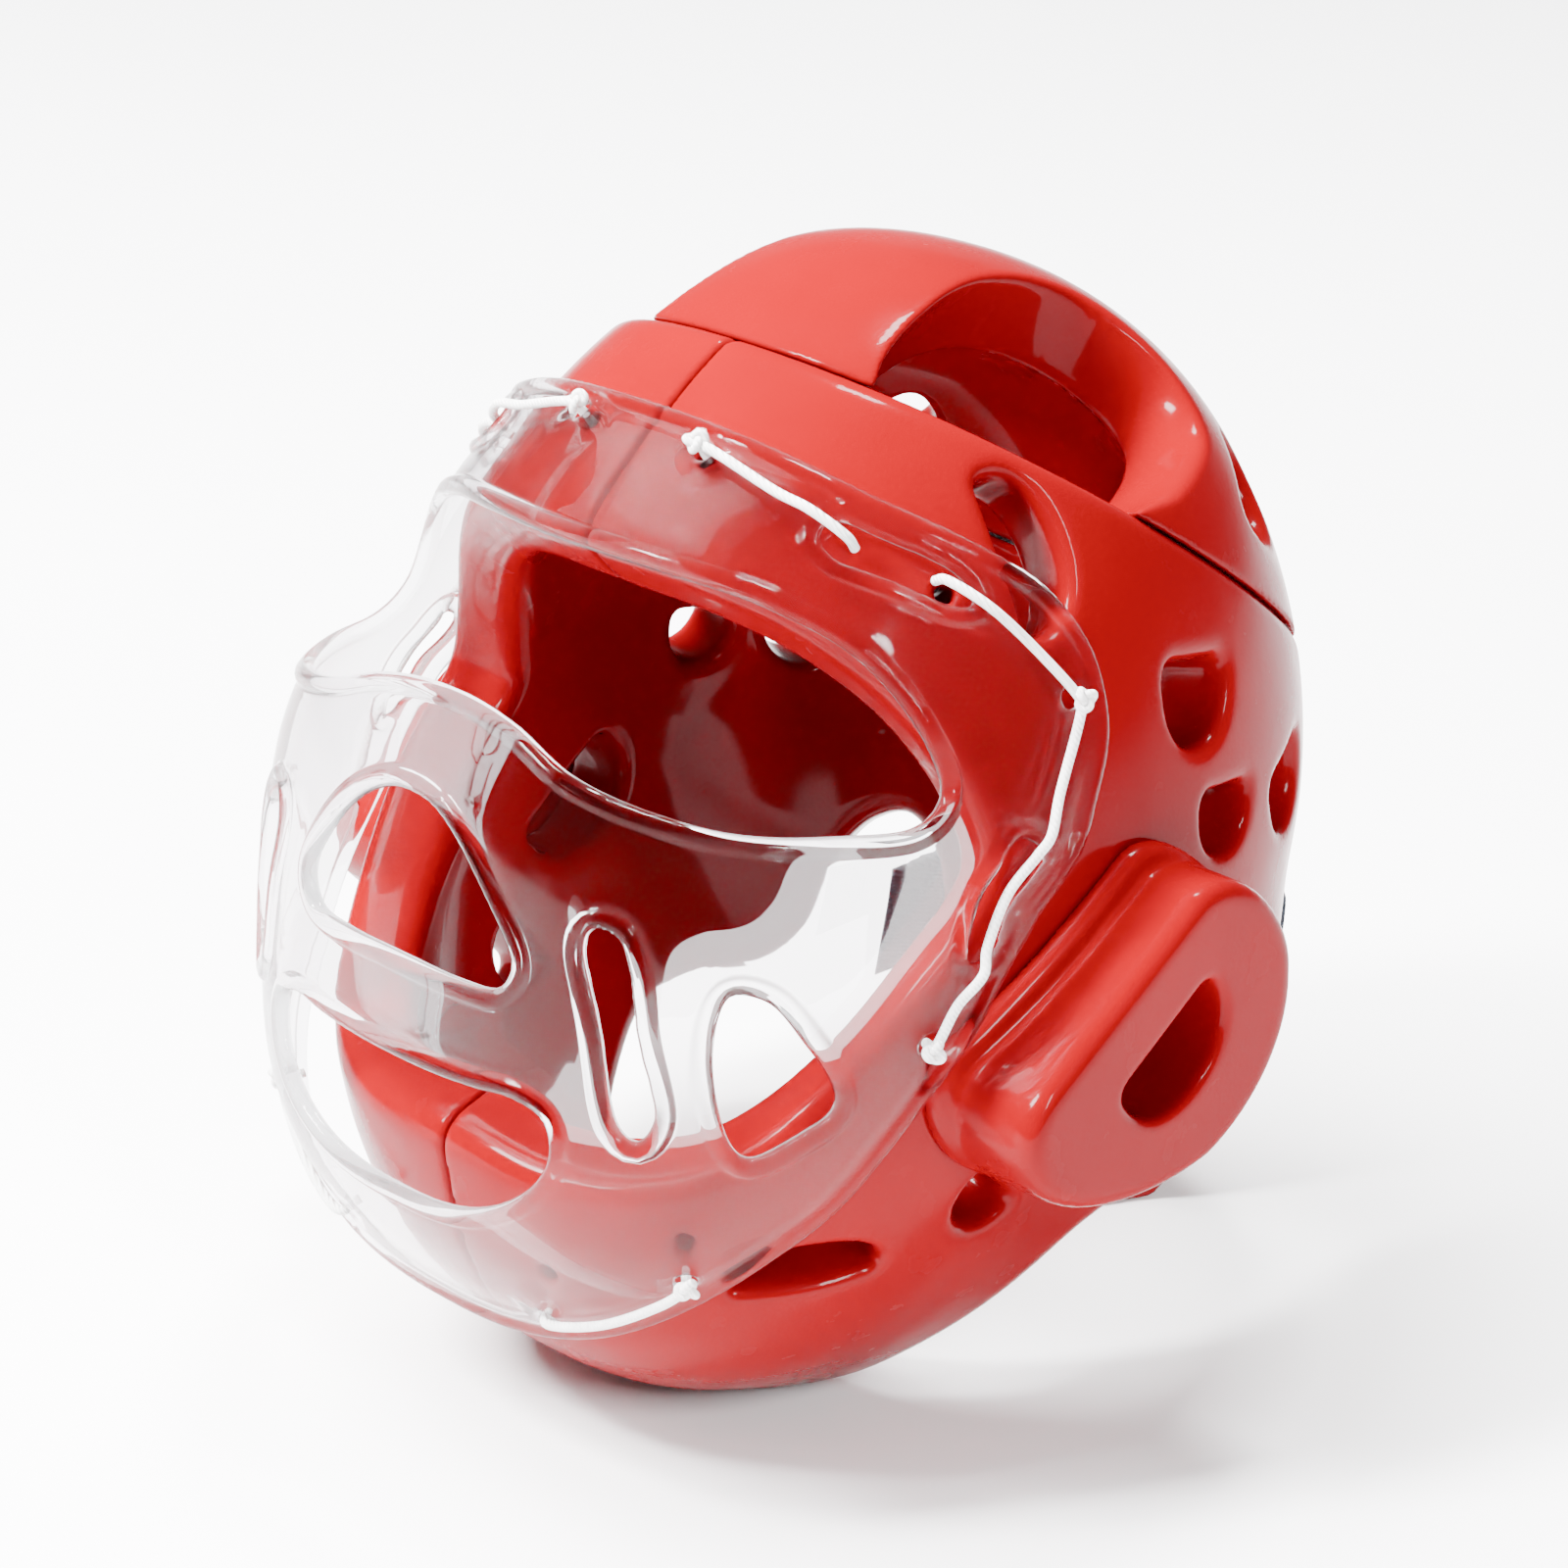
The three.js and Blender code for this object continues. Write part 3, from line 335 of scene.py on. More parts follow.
def open_curve(points, per_span=8):
    """Smooth open run through points."""
    p = np.array(points, float)
    p = np.concatenate([2 * p[:1] - p[1:2], p, 2 * p[-1:] - p[-2:-1]])
    out = []
    for k in range(1, len(p) - 2):
        t = np.linspace(0, 1, per_span, endpoint=False)[:, None]
        m1, m2 = (p[k + 1] - p[k - 1]) / 2, (p[k + 2] - p[k]) / 2
        out.append(
            (2 * t**3 - 3 * t**2 + 1) * p[k] + (t**3 - 2 * t**2 + t) * m1
            + (3 * t**2 - 2 * t**3) * p[k + 1] + (t**3 - t**2) * m2
        )
    out.append(p[-2:-1])
    return np.concatenate(out)


def inside_polygon(px, py, polygon):
    inside = np.zeros(np.shape(px), bool)
    x0, y0 = polygon[-1]
    for x1, y1 in polygon:
        if y0 != y1:
            crosses = (y0 > py) != (y1 > py)
            inside ^= crosses & (px < (x1 - x0) * (py - y0) / (y1 - y0) + x0)
        x0, y0 = x1, y1
    return inside


def polygon_distance(px, py, polygon):
    """Signed distance to a closed outline in a plane, below zero inside."""
    best = np.full(np.shape(px), 1e9)
    for (x0, y0), (x1, y1) in zip(polygon, np.roll(polygon, -1, axis=0)):
        dx, dy = x1 - x0, y1 - y0
        t = np.clip(((px - x0) * dx + (py - y0) * dy) / (dx * dx + dy * dy + 1e-12), 0, 1)
        best = np.minimum(best, (px - x0 - t * dx) ** 2 + (py - y0 - t * dy) ** 2)
    best = np.sqrt(best)
    return np.where(inside_polygon(px, py, polygon), -best, best)


def nearest(points, targets, chunk=1500):
    out = np.empty(len(points))
    for k in range(0, len(points), chunk):
        d = points[k : k + chunk, None] - targets[None]
        out[k : k + chunk] = np.sqrt((d * d).sum(-1).min(-1))
    return out


class EdgeMap:
    """Signed distance over a form's surface to an outline on it, looked up by angle and spread.

    It is below zero inside the outline.
    """

    def __init__(self, form, outline, low, high, step=0.75, spread_low=-6.0):
        self.low, self.step, self.spread_low = low, step, spread_low
        self.angles = np.arange(low, high + step, step)
        self.spreads = np.arange(spread_low, 90 + step, step)
        a, s = np.meshgrid(self.angles, self.spreads, indexing="ij")
        ring = even(form.point(outline[:, 0], outline[:, 1]), 0.4)
        d = nearest(form.point(a, s).reshape(-1, 3), ring).reshape(a.shape)
        self.values = np.where(inside_polygon(a, s, outline), -d, d)

    def __call__(self, angle, spread):
        angle = (angle - self.low + 20) % 360 + self.low - 20
        i = (angle - self.low) / self.step
        j = (spread - self.spread_low) / self.step
        i = np.clip(i, 0, len(self.angles) - 1.001)
        j = np.clip(j, 0, len(self.spreads) - 1.001)
        i0, j0 = i.astype(int), j.astype(int)
        fi, fj = i - i0, j - j0
        v = self.values
        return (
            v[i0, j0] * (1 - fi) * (1 - fj) + v[i0 + 1, j0] * fi * (1 - fj)
            + v[i0, j0 + 1] * (1 - fi) * fj + v[i0 + 1, j0 + 1] * fi * fj
        )


def soft_max(a, b, k):
    h = np.clip(k - np.abs(a - b), 0, None) / k
    return np.maximum(a, b) + h * h * k / 4


def soft_min(a, b, k):
    return -soft_max(-a, -b, k)


def d_outline(length, width, count=10):
    """Outline with one straight and one round side."""
    corner = min(length, width) * 0.22
    half, t = width / 2, np.linspace(0, 1, count, endpoint=False)[:, None]

    def bend(*p):
        p = [np.array(q, float) for q in p]
        while len(p) > 1:
            p = [a * (1 - t) + b * t for a, b in zip(p, p[1:])]
        return p[0]

    return np.concatenate([
        bend((length / 2 - corner, -half), (length / 2, -half), (length / 2, -half + corner)),
        bend((length / 2, -half + corner), (length / 2, width * 0.3), (length * 0.22, half), (0, half)),
        bend((0, half), (-length * 0.22, half), (-length / 2, width * 0.3), (-length / 2, -half + corner)),
        bend((-length / 2, -half + corner), (-length / 2, -half), (-length / 2 + corner, -half)),
    ])


def vent_frame(form, vent):
    angle, spread, turn = vent[0], vent[1], math.radians(vent[4] if len(vent) > 4 else 0)
    normal = form.normal(angle, spread)
    along = form.point(angle + 1, spread) - form.point(angle, spread)
    along -= normal * (along @ normal)
    along /= np.linalg.norm(along)
    across = np.cross(normal, along)
    u = along * math.cos(turn) + across * math.sin(turn)
    return form.point(angle, spread), u, np.cross(normal, u), normal


def cut_vents(field, grid, form, vents, round_edge):
    """Vents and holes through the wall, each with a softly rounded lip."""
    x, y, z = grid
    for vent in vents:
        start, u, v, n = vent_frame(form, vent)
        size = max(vent[2:4]) * VENT_SIZE if len(vent) > 4 else LACE_HOLE
        near = (
            (np.abs(x - start[0]) < size + VENT_MARGIN)
            & (np.abs(y - start[1]) < size + VENT_MARGIN)
            & (np.abs(z - start[2]) < size + VENT_MARGIN)
        )
        q = np.stack([x[near] - start[0], y[near] - start[1], z[near] - start[2]], -1)
        pu, pv, pn = q @ u, q @ v, q @ n
        if len(vent) > 4:
            d = polygon_distance(pu, pv, d_outline(vent[2] * VENT_SIZE, vent[3] * VENT_SIZE))
            d = d - LIP_SIZE * np.exp(-(((pn + LIP_DEPTH) / LIP_SPAN) ** 2))
        else:
            d = np.hypot(pu, pv) - LACE_HOLE / 2
        d = np.maximum(d, np.abs(pn) - 2 * FOAM_WALL)
        field[near] = soft_max(field[near], -d, round_edge if len(vent) > 4 else HOLE_ROUNDING)
    return field


def make_grid(low, high, step):
    return np.meshgrid(*[np.arange(a, b + step, step) for a, b in zip(low, high)], indexing="ij")


def surface_net(field, low, step):
    """Quads on the zero surface of a sampled field, which is below zero inside."""
    shape = np.array(field.shape) - 1
    cells = int(np.prod(shape))
    total, count = np.zeros((cells, 3)), np.zeros(cells)
    inside = field < 0
    quads = []
    for axis in range(3):
        first = [slice(None)] * 3
        second = [slice(None)] * 3
        first[axis], second[axis] = slice(0, -1), slice(1, None)
        a, b = field[tuple(first)], field[tuple(second)]
        cross = np.argwhere(inside[tuple(first)] != inside[tuple(second)])
        others = [k for k in range(3) if k != axis]
        keep = np.all(
            [(cross[:, k] > 0) & (cross[:, k] < shape[k]) for k in others], axis=0
        )
        cross = cross[keep]
        va, vb = a[tuple(cross.T)], b[tuple(cross.T)]
        at = cross.astype(float)
        at[:, axis] += va / (va - vb)
        corner = []
        for back in ((0, 0), (1, 0), (1, 1), (0, 1)):
            cell = cross.copy()
            cell[:, others[0]] -= back[0]
            cell[:, others[1]] -= back[1]
            flat = np.ravel_multi_index(cell.T, shape)
            corner.append(flat)
            for k in range(3):
                total[:, k] += np.bincount(flat, at[:, k], cells)
            count += np.bincount(flat, minlength=cells)
        quad = np.stack(corner, -1)
        flip = (va < 0) == (axis == 1)
        quad[flip] = quad[flip][:, ::-1]
        quads.append(quad)
    quads = np.concatenate(quads)
    used = np.flatnonzero(count)
    index = np.full(cells, -1)
    index[used] = np.arange(len(used))
    points = total[used] / count[used, None]
    faces = index[quads]
    points, normals = settle(points, faces, field)
    return points * step + np.asarray(low), faces, normals


def sample(field, p):
    i = np.clip(p, 0, np.array(field.shape) - 1.001)
    i0 = i.astype(int)
    f = i - i0
    out = 0
    for a in (0, 1):
        for b in (0, 1):
            for c in (0, 1):
                w = (f[:, 0] if a else 1 - f[:, 0]) * (f[:, 1] if b else 1 - f[:, 1])
                w = w * (f[:, 2] if c else 1 - f[:, 2])
                out = out + w * field[i0[:, 0] + a, i0[:, 1] + b, i0[:, 2] + c]
    return out


def settle(points, faces, field, rounds=3):
    """Evens the points out over the surface, sets them back on it and gives its normals there."""
    gradient = np.gradient(field)
    pairs = np.concatenate([faces[:, [k, (k + 1) % 4]] for k in range(4)])
    count = np.bincount(pairs.ravel(), minlength=len(points))[:, None]
    for _ in range(rounds):
        mean = np.stack(
            [
                np.bincount(pairs[:, 0], points[pairs[:, 1], k], len(points))
                + np.bincount(pairs[:, 1], points[pairs[:, 0], k], len(points))
                for k in range(3)
            ],
            -1,
        ) / np.maximum(count, 1)
        points = points * 0.5 + mean * 0.5
        value = sample(field, points)
        g = np.stack([sample(c, points) for c in gradient], -1)
        step = -value[:, None] * g / np.maximum((g * g).sum(-1, keepdims=True), 0.05)
        points = points + np.clip(step, -0.6, 0.6)
    normals = np.stack([sample(c, points) for c in gradient], -1)
    return points, normals / np.maximum(np.linalg.norm(normals, axis=1, keepdims=True), 1e-9)


def wall_field(form, grid, step):
    """Signed distance to the foam wall between the outer and inner surface, and the polar places."""
    x, y, z = grid
    angle, spread, size = form.polar(x, y, z)
    slope = np.sqrt(sum(g * g for g in np.gradient(size, step)))
    outer = (size - 1) / np.maximum(slope, 1e-4)
    _, _, inner_size = form.polar(x, y, z, -FOAM_WALL)
    slope = np.sqrt(sum(g * g for g in np.gradient(inner_size, step)))
    inner = (1 - inner_size) / np.maximum(slope, 1e-4)
    inner = np.where(inner_size < 0.5, 40, inner)
    return soft_max(outer, inner, WALL_BLEND), angle, spread, size


def band_plane(y, z):
    """Distance above the band's top edge."""
    return y * math.sin(BAND_LEAN) + (z - CENTRE_HEIGHT) * math.cos(BAND_LEAN) - BAND_RISE


def ear_place(y, z):
    """A pad's own plane: up along its straight side, then forward."""
    u = (y - PAD_BACK) * math.cos(PAD_SLANT) + (z - CENTRE_HEIGHT + PAD_DROP) * math.sin(PAD_SLANT)
    v = -(y - PAD_BACK) * math.sin(PAD_SLANT) + (z - CENTRE_HEIGHT + PAD_DROP) * math.cos(PAD_SLANT)
    return u, v


def ear_hole(u, v):
    outline = -d_outline(EAR_HOLE_LENGTH, EAR_HOLE_DEPTH) + [EAR_HOLE_SHIFT, -EAR_HOLE_DEPTH * 0.24]
    return polygon_distance(u, v, outline)


def cut_neck(field, angle, spread, size):
    """The neck opening, with more taken off the rim's outer corner than off its inner one."""
    inner = EdgeMap(FOAM, closed_curve([row[:2] for row in NECK_EDGE], half=True), *NECK_SPAN)
    flared = [(a, s + flare) for a, s, flare in NECK_EDGE]
    outer = EdgeMap(FOAM, closed_curve(flared, half=True), *NECK_SPAN)
    depth = np.clip((1 - size) * REACH / FOAM_WALL, 0, 1)
    edge = outer(angle, spread) * (1 - depth) + inner(angle, spread) * depth
    return soft_max(field, -edge * size, NECK_ROUNDING)


def build_foam_half(step):
    grid = make_grid(HALF_LOW, HALF_HIGH, step)
    x, y, z = grid
    field, angle, spread, size = wall_field(FOAM, grid, step)
    spread = np.abs(spread)
    face = EdgeMap(FOAM, closed_curve(FACE_EDGE, half=True), *FACE_SPAN)
    field = soft_max(field, -face(angle, spread) * size, FACE_ROUNDING)
    field = cut_neck(field, angle, spread, size)
    field = soft_max(field, band_plane(y, z) + PIECE_GAP / 2, BAND_ROUNDING)
    field = cut_vents(field, grid, FOAM, VENTS + FOAM_LACE_HOLES, VENT_ROUNDING)
    u, v = ear_place(y, z)
    hole = np.where(x > 60, ear_hole(u[0], v[0])[None], 30)
    field = soft_max(field, -hole, EAR_ROUNDING)
    field = soft_max(field, PIECE_GAP / 2 - x, SEAM_ROUNDING)
    field = soft_max(field, -z, FOOT_ROUNDING)
    return surface_net(field, HALF_LOW, step)


def build_crown(step):
    low = (-2 * step, CROWN_BACK, CROWN_FOOT)
    grid = make_grid(low, CROWN_HIGH, step)
    _, y, z = grid
    field, angle, spread, size = wall_field(CROWN, grid, step)
    spread = np.abs(spread)
    ridge = EdgeMap(CROWN, closed_curve(CROWN_RIDGE), *CROWN_SPAN)
    inner = EdgeMap(CROWN, closed_curve(CROWN_INNER), *CROWN_SPAN)
    depth = np.clip((1 - size) * REACH / FOAM_WALL, -0.2, 1.25)
    bowl = depth + BOWL * np.sin(np.pi * np.clip(depth, 0, 1))
    hole = ridge(angle, spread) * (1 - bowl) + inner(angle, spread) * bowl
    field = soft_max(field, -hole * size, CROWN_EDGE_ROUNDING)
    field = cut_vents(field, grid, CROWN, VENTS, VENT_ROUNDING)
    field = cut_neck(field, angle, spread, size)
    field = soft_max(field, -band_plane(y, z) + PIECE_GAP / 2, CROWN_SEAM_ROUNDING)
    # the half is completed with its mirror image, on a grid that is even about the middle
    first = -int(round(low[0] / step))
    left = field[first:]
    whole = np.concatenate([left[:0:-1], left])
    return surface_net(whole, (-(len(left) - 1) * step, low[1], low[2]), step)


def pad_outline(count=14):
    length, depth = PAD_LENGTH, PAD_DEPTH
    t = np.linspace(0, 1, count, endpoint=False)[:, None]

    def bend(*p):
        p = [np.array(q, float) for q in p]
        while len(p) > 1:
            p = [a * (1 - t) + b * t for a, b in zip(p, p[1:])]
        return p[0] * [length, depth]

    return np.concatenate([
        bend((-0.3, 0.4), (-0.4, 0.4), (-0.48, 0.32), (-0.49, 0.16)),
        bend((-0.49, 0.16), (-0.52, -0.12), (-0.26, -0.46), (-0.04, -0.58)),
        bend((-0.04, -0.58), (0.14, -0.64), (0.36, -0.56), (0.46, -0.3)),
        bend((0.46, -0.3), (0.56, -0.1), (0.5, 0.4), (0.28, 0.4)),
    ])


def build_pad(step):
    x, y, z = make_grid(PAD_LOW, PAD_HIGH, step)
    _, _, size = FOAM.polar(x, y, z)
    slope = np.sqrt(sum(g * g for g in np.gradient(size, step)))
    above = (size - 1) / np.maximum(slope, 1e-4)
    u, v = ear_place(y[0], z[0])
    side = polygon_distance(u, v, pad_outline())[None]
    face = HALF_WIDTH + PAD_THICKNESS
    pad = soft_max(side, x - face, PAD_ROUNDING)
    front = np.clip((v - SHOULDER_START) / SHOULDER_RISE, 0, 1)
    front = front * np.clip((SHOULDER_HALF_LENGTH - np.abs(u)) / SHOULDER_FADE, 0, 1)
    shoulder = soft_max(side - SHOULDER_WIDTH * front[None], above - SHOULDER_HEIGHT, SHOULDER_ROUNDING)
    field = soft_min(pad, shoulder, SHOULDER_BLEND)
    field = soft_max(field, -ear_hole(u, v)[None], PAD_HOLE_ROUNDING)
    field = soft_max(field, PIECE_GAP - above, PAD_SEAT_ROUNDING)
    return surface_net(field, PAD_LOW, step)


def to_world(points):
    return (np.asarray(points) + [0, ORIGIN_BACK, 0]) / 1000


def add_mesh(name, points, faces, normals=None):
    mesh = bpy.data.meshes.new(name)
    points = to_world(points).astype(np.float32)
    faces = np.asarray(faces, np.int32)
    sides = faces.shape[1]
    mesh.vertices.add(len(points))
    mesh.vertices.foreach_set("co", points.ravel())
    mesh.loops.add(faces.size)
    mesh.loops.foreach_set("vertex_index", faces.ravel())
    mesh.polygons.add(len(faces))
    mesh.polygons.foreach_set("loop_start", np.arange(0, faces.size, sides, dtype=np.int32))
    mesh.update(calc_edges=True)
    mesh.polygons.foreach_set("use_smooth", np.full(len(faces), True))
    if normals is not None:
        mesh.normals_split_custom_set_from_vertices(normals.tolist())
    obj = bpy.data.objects.new(name, mesh)
    bpy.context.collection.objects.link(obj)
    return obj


def mirrored(points, faces, normals):
    return points * [-1, 1, 1], faces[:, ::-1], normals * [-1, 1, 1]


def shield_profile(d, small):
    """Lift of the outer and inner face at a distance from the nearest edge and from the nearest lace hole."""
    r = BEAD_RADIUS
    middle = -SHIELD_WALL / 2
    roll = np.sqrt(np.clip(1 - ((d - r) / r) ** 2, 0, 1))
    outer = np.maximum(middle + BEAD_OUT * r * roll, np.where(d > r, -OUTER_DIP, -9))
    outer = np.where(d < r, middle + BEAD_OUT * r * roll, outer)
    rise = np.where(d > r, np.clip((d - 2 * r) / 2, 0, 1) * OUTER_DIP, 0)
    outer = np.where(d > 2 * r + 2, 0, outer + rise)
    inner = np.where(d < r, middle - BEAD_IN * r * roll, -SHIELD_WALL - INNER_DIP * np.exp(-(d - r) / 2))
    wall = SHIELD_WALL / 2
    edge = np.sqrt(np.clip(1 - (1 - np.clip(small / wall, 0, 1)) ** 2, 0, 1))
    return middle + (outer - middle) * edge, middle + (inner - middle) * edge


def even(outline_points, spacing):
    """Even places round a closed run of points."""
    p = np.concatenate([outline_points, outline_points[:1]])
    step = np.linalg.norm(np.diff(p, axis=0), axis=1)
    at = np.concatenate([[0], np.cumsum(step)])
    count = max(8, int(round(at[-1] / spacing)))
    s = np.linspace(0, at[-1], count, endpoint=False)
    return np.stack([np.interp(s, at, p[:, k]) for k in range(3)], -1)


FACE_AXIS = np.array([0, math.cos(math.radians(160)), math.sin(math.radians(160))])
FACE_SIDE = np.array([1.0, 0, 0])
FACE_UP = np.cross(FACE_AXIS, FACE_SIDE)


def flatten(points):
    """Spreads places on the shield out in a plane round the middle of the face."""
    q = points - [0, 0, CENTRE_HEIGHT]
    q = q / np.linalg.norm(q, axis=1, keepdims=True)
    lean = np.arccos(np.clip(q @ FACE_AXIS, -1, 1))
    k = lean / np.maximum(np.sin(lean), 1e-6) * FLAT_RADIUS
    return np.stack([q @ FACE_SIDE * k, q @ FACE_UP * k], -1)


def shield_rings():
    rings = []
    for rows in (SHIELD_EDGE, EYE_EDGE, NOSE_EDGE, MOUTH_EDGE):
        c = closed_curve(rows, half=True)
        rings.append((SHIELD.point(c[:, 0], c[:, 1]), RIM_SPACING, False))
    for rows in SIDE_OPENINGS:
        for side in (1, -1):
            c = closed_curve(rows)
            rings.append((SHIELD.point(c[:, 0], side * c[:, 1]), OPENING_SPACING, False))
    for angle, spread in SHIELD_LACE_HOLES:
        for side in (1, -1):
            start, u, v, _ = vent_frame(SHIELD, (angle, side * spread))
            t = np.linspace(0, 2 * np.pi, 24, endpoint=False)[:, None]
            rings.append((start + SHIELD_HOLE / 2 * (np.cos(t) * u + np.sin(t) * v), HOLE_SPACING, True))
    return [(even(p, spacing), small) for p, spacing, small in rings]


def build_shield(spacing):
    rings = shield_rings()
    rim_flat = flatten(rings[0][0])
    hole_flats = [flatten(p) for p, _ in rings[1:]]
    fine = np.concatenate([even(p, 0.6) for p, small in rings if not small])
    fine_small = np.concatenate([even(p, 0.4) for p, small in rings if small])

    def on_plate(points, margin):
        flat = flatten(points)
        keep = inside_polygon(flat[:, 0], flat[:, 1], rim_flat)
        for hole in hole_flats:
            keep &= ~inside_polygon(flat[:, 0], flat[:, 1], hole)
        d = np.minimum(nearest(points, fine), nearest(points, fine_small))
        return points[keep & (d > margin)]

    extra = []
    for points, small in rings:
        tangent = np.roll(points, -1, axis=0) - np.roll(points, 1, axis=0)
        tangent /= np.linalg.norm(tangent, axis=1, keepdims=True)
        angle, spread, _ = SHIELD.polar(*points.T)
        across = np.cross(SHIELD.normal(angle, spread), tangent)
        across /= np.linalg.norm(across, axis=1, keepdims=True)
        for d in HOLE_ROWS if small else BEAD_ROWS:
            for way in (1, -1):
                q = points + across * way * d
                a, s, _ = SHIELD.polar(*q.T)
                extra.append(on_plate(SHIELD.point(a, s), d * 0.86))
    a, s = np.meshgrid(
        np.arange(*SHIELD_SPAN, spacing / 2.2),
        np.arange(-SHIELD_SPREAD, SHIELD_SPREAD, spacing / 2.0),
        indexing="ij",
    )
    extra.append(on_plate(SHIELD.point(a.ravel(), s.ravel()), PLAIN_MARGIN))
    loops = [p for p, _ in rings]
    ring_points = np.concatenate(loops)
    points = np.concatenate([ring_points] + extra)
    flat = flatten(points)
    edges, start = [], 0
    for p in loops:
        n = len(p)
        edges += [(start + k, start + (k + 1) % n) for k in range(n)]
        start += n
    _, _, faces, origin, _, _ = delaunay_2d_cdt([Vector(q) for q in flat], edges, [], 0, 1e-4)
    source = np.array([o[0] if o else -1 for o in origin])
    faces = np.array([f for f in faces if len(f) == 3])
    faces = faces[(source[faces] >= 0).all(1)]
    faces = source[faces]
    middle = flat[faces].mean(1)
    keep = inside_polygon(middle[:, 0], middle[:, 1], rim_flat)
    for hole in hole_flats:
        keep &= ~inside_polygon(middle[:, 0], middle[:, 1], hole)
    faces = faces[keep]
    angle, spread, _ = SHIELD.polar(*points.T)
    d, small = nearest(points, fine), nearest(points, fine_small)
    count = len(ring_points)
    d[:count][d[:count] < 0.5] = 0
    small_ring = np.concatenate([np.full(len(p), s) for p, s in rings])
    d[:count] = np.where(small_ring, d[:count], 0)
    small[:count] = np.where(small_ring, 0, small[:count])
    high, low = shield_profile(d, small)
    outer = SHIELD.place(angle, spread, high)
    inner = SHIELD.place(angle, spread, low)
    inner[:count] = outer[:count]
    a, b, c = outer[faces[:, 0]], outer[faces[:, 1]], outer[faces[:, 2]]
    way = (np.cross(b - a, c - a) * SHIELD.normal(angle, spread)[faces[:, 0]]).sum(1)
    faces[way < 0] = faces[way < 0][:, ::-1]
    total = len(points)
    inside_index = np.arange(total)
    inside_index[count:] += total - count
    all_points = np.concatenate([outer, inner[count:]])
    return all_points, np.concatenate([faces, inside_index[faces][:, ::-1]])


def tube(path, radius, sides=12):
    """Round cord along a path, closed at both ends."""
    path = np.asarray(path)
    tangent = np.gradient(path, axis=0)
    tangent /= np.linalg.norm(tangent, axis=1, keepdims=True)
    normal = np.cross(tangent[0], [0.3, 0.5, 0.8])
    rings = []
    radius = np.broadcast_to(radius, len(path))
    for p, t, r in zip(path, tangent, radius):
        normal = normal - t * (normal @ t)
        normal /= np.linalg.norm(normal)
        side = np.cross(t, normal)
        turn = np.linspace(0, 2 * np.pi, sides, endpoint=False)[:, None]
        rings.append(p + r * (np.cos(turn) * normal + np.sin(turn) * side))
    points = np.concatenate(rings + [path[:1], path[-1:]])
    faces = []
    n = len(path)
    for k in range(n - 1):
        for j in range(sides):
            i = (j + 1) % sides
            faces.append((k * sides + j, k * sides + i, (k + 1) * sides + i, (k + 1) * sides + j))
    last = (n - 1) * sides
    for j in range(sides):
        i = (j + 1) % sides
        faces.append((n * sides, i, j))
        faces.append((n * sides + 1, last + j, last + i))
    return points, faces


def add_polygons(name, points, faces):
    """Smooth piece from faces of any number of sides."""
    mesh = bpy.data.meshes.new(name)
    mesh.from_pydata(to_world(points).tolist(), [], faces)
    mesh.polygons.foreach_set("use_smooth", [True] * len(mesh.polygons))
    obj = bpy.data.objects.new(name, mesh)
    bpy.context.collection.objects.link(obj)
    return obj


def add_tubes(name, runs):
    """One piece of several tubes."""
    points, faces = [], []
    for path, radius in runs:
        p, f = tube(path, radius)
        start = sum(len(q) for q in points)
        points.append(p)
        faces += [tuple(start + k for k in face) for face in f]
    return add_polygons(name, np.concatenate(points), faces)


def knot_run(place, side):
    """Overhand knot of the same cord, laid flat on the shield."""
    angle, spread, lift = place
    start, u, v, n = vent_frame(SHIELD, (angle, side * spread))
    start = start + n * (lift - KNOT_SINK)
    t = np.linspace(0.25, 2 * np.pi - 0.1, 48)
    a = np.sin(t) + 2 * np.sin(2 * t)
    b = np.cos(t) - 2 * np.cos(2 * t)
    c = -np.sin(3 * t)
    return start + KNOT_SPREAD * (a[:, None] * u + b[:, None] * v) + KNOT_HEIGHT * c[:, None] * n


def lace_runs(lace, side):
    route, knots = lace
    rows = np.array(route, float)
    points = SHIELD.place(rows[:, 0], rows[:, 1], rows[:, 2]) * [side, 1, 1]
    runs = [(open_curve(points, 10), LACE_DIAMETER / 2)]
    for k in knots:
        runs.append((knot_run(k, side), LACE_DIAMETER * 0.42))
    return runs


def back_place(x, z, lift):
    """Place on the back of the foam at a side and height."""
    low, high = np.zeros_like(x), np.full_like(x, 2 * REACH)
    for _ in range(40):
        middle = (low + high) / 2
        _, _, size = FOAM.polar(x, middle, z, lift)
        low, high = np.where(size < 1, middle, low), np.where(size < 1, high, middle)
    return np.stack([x, low, z], -1)


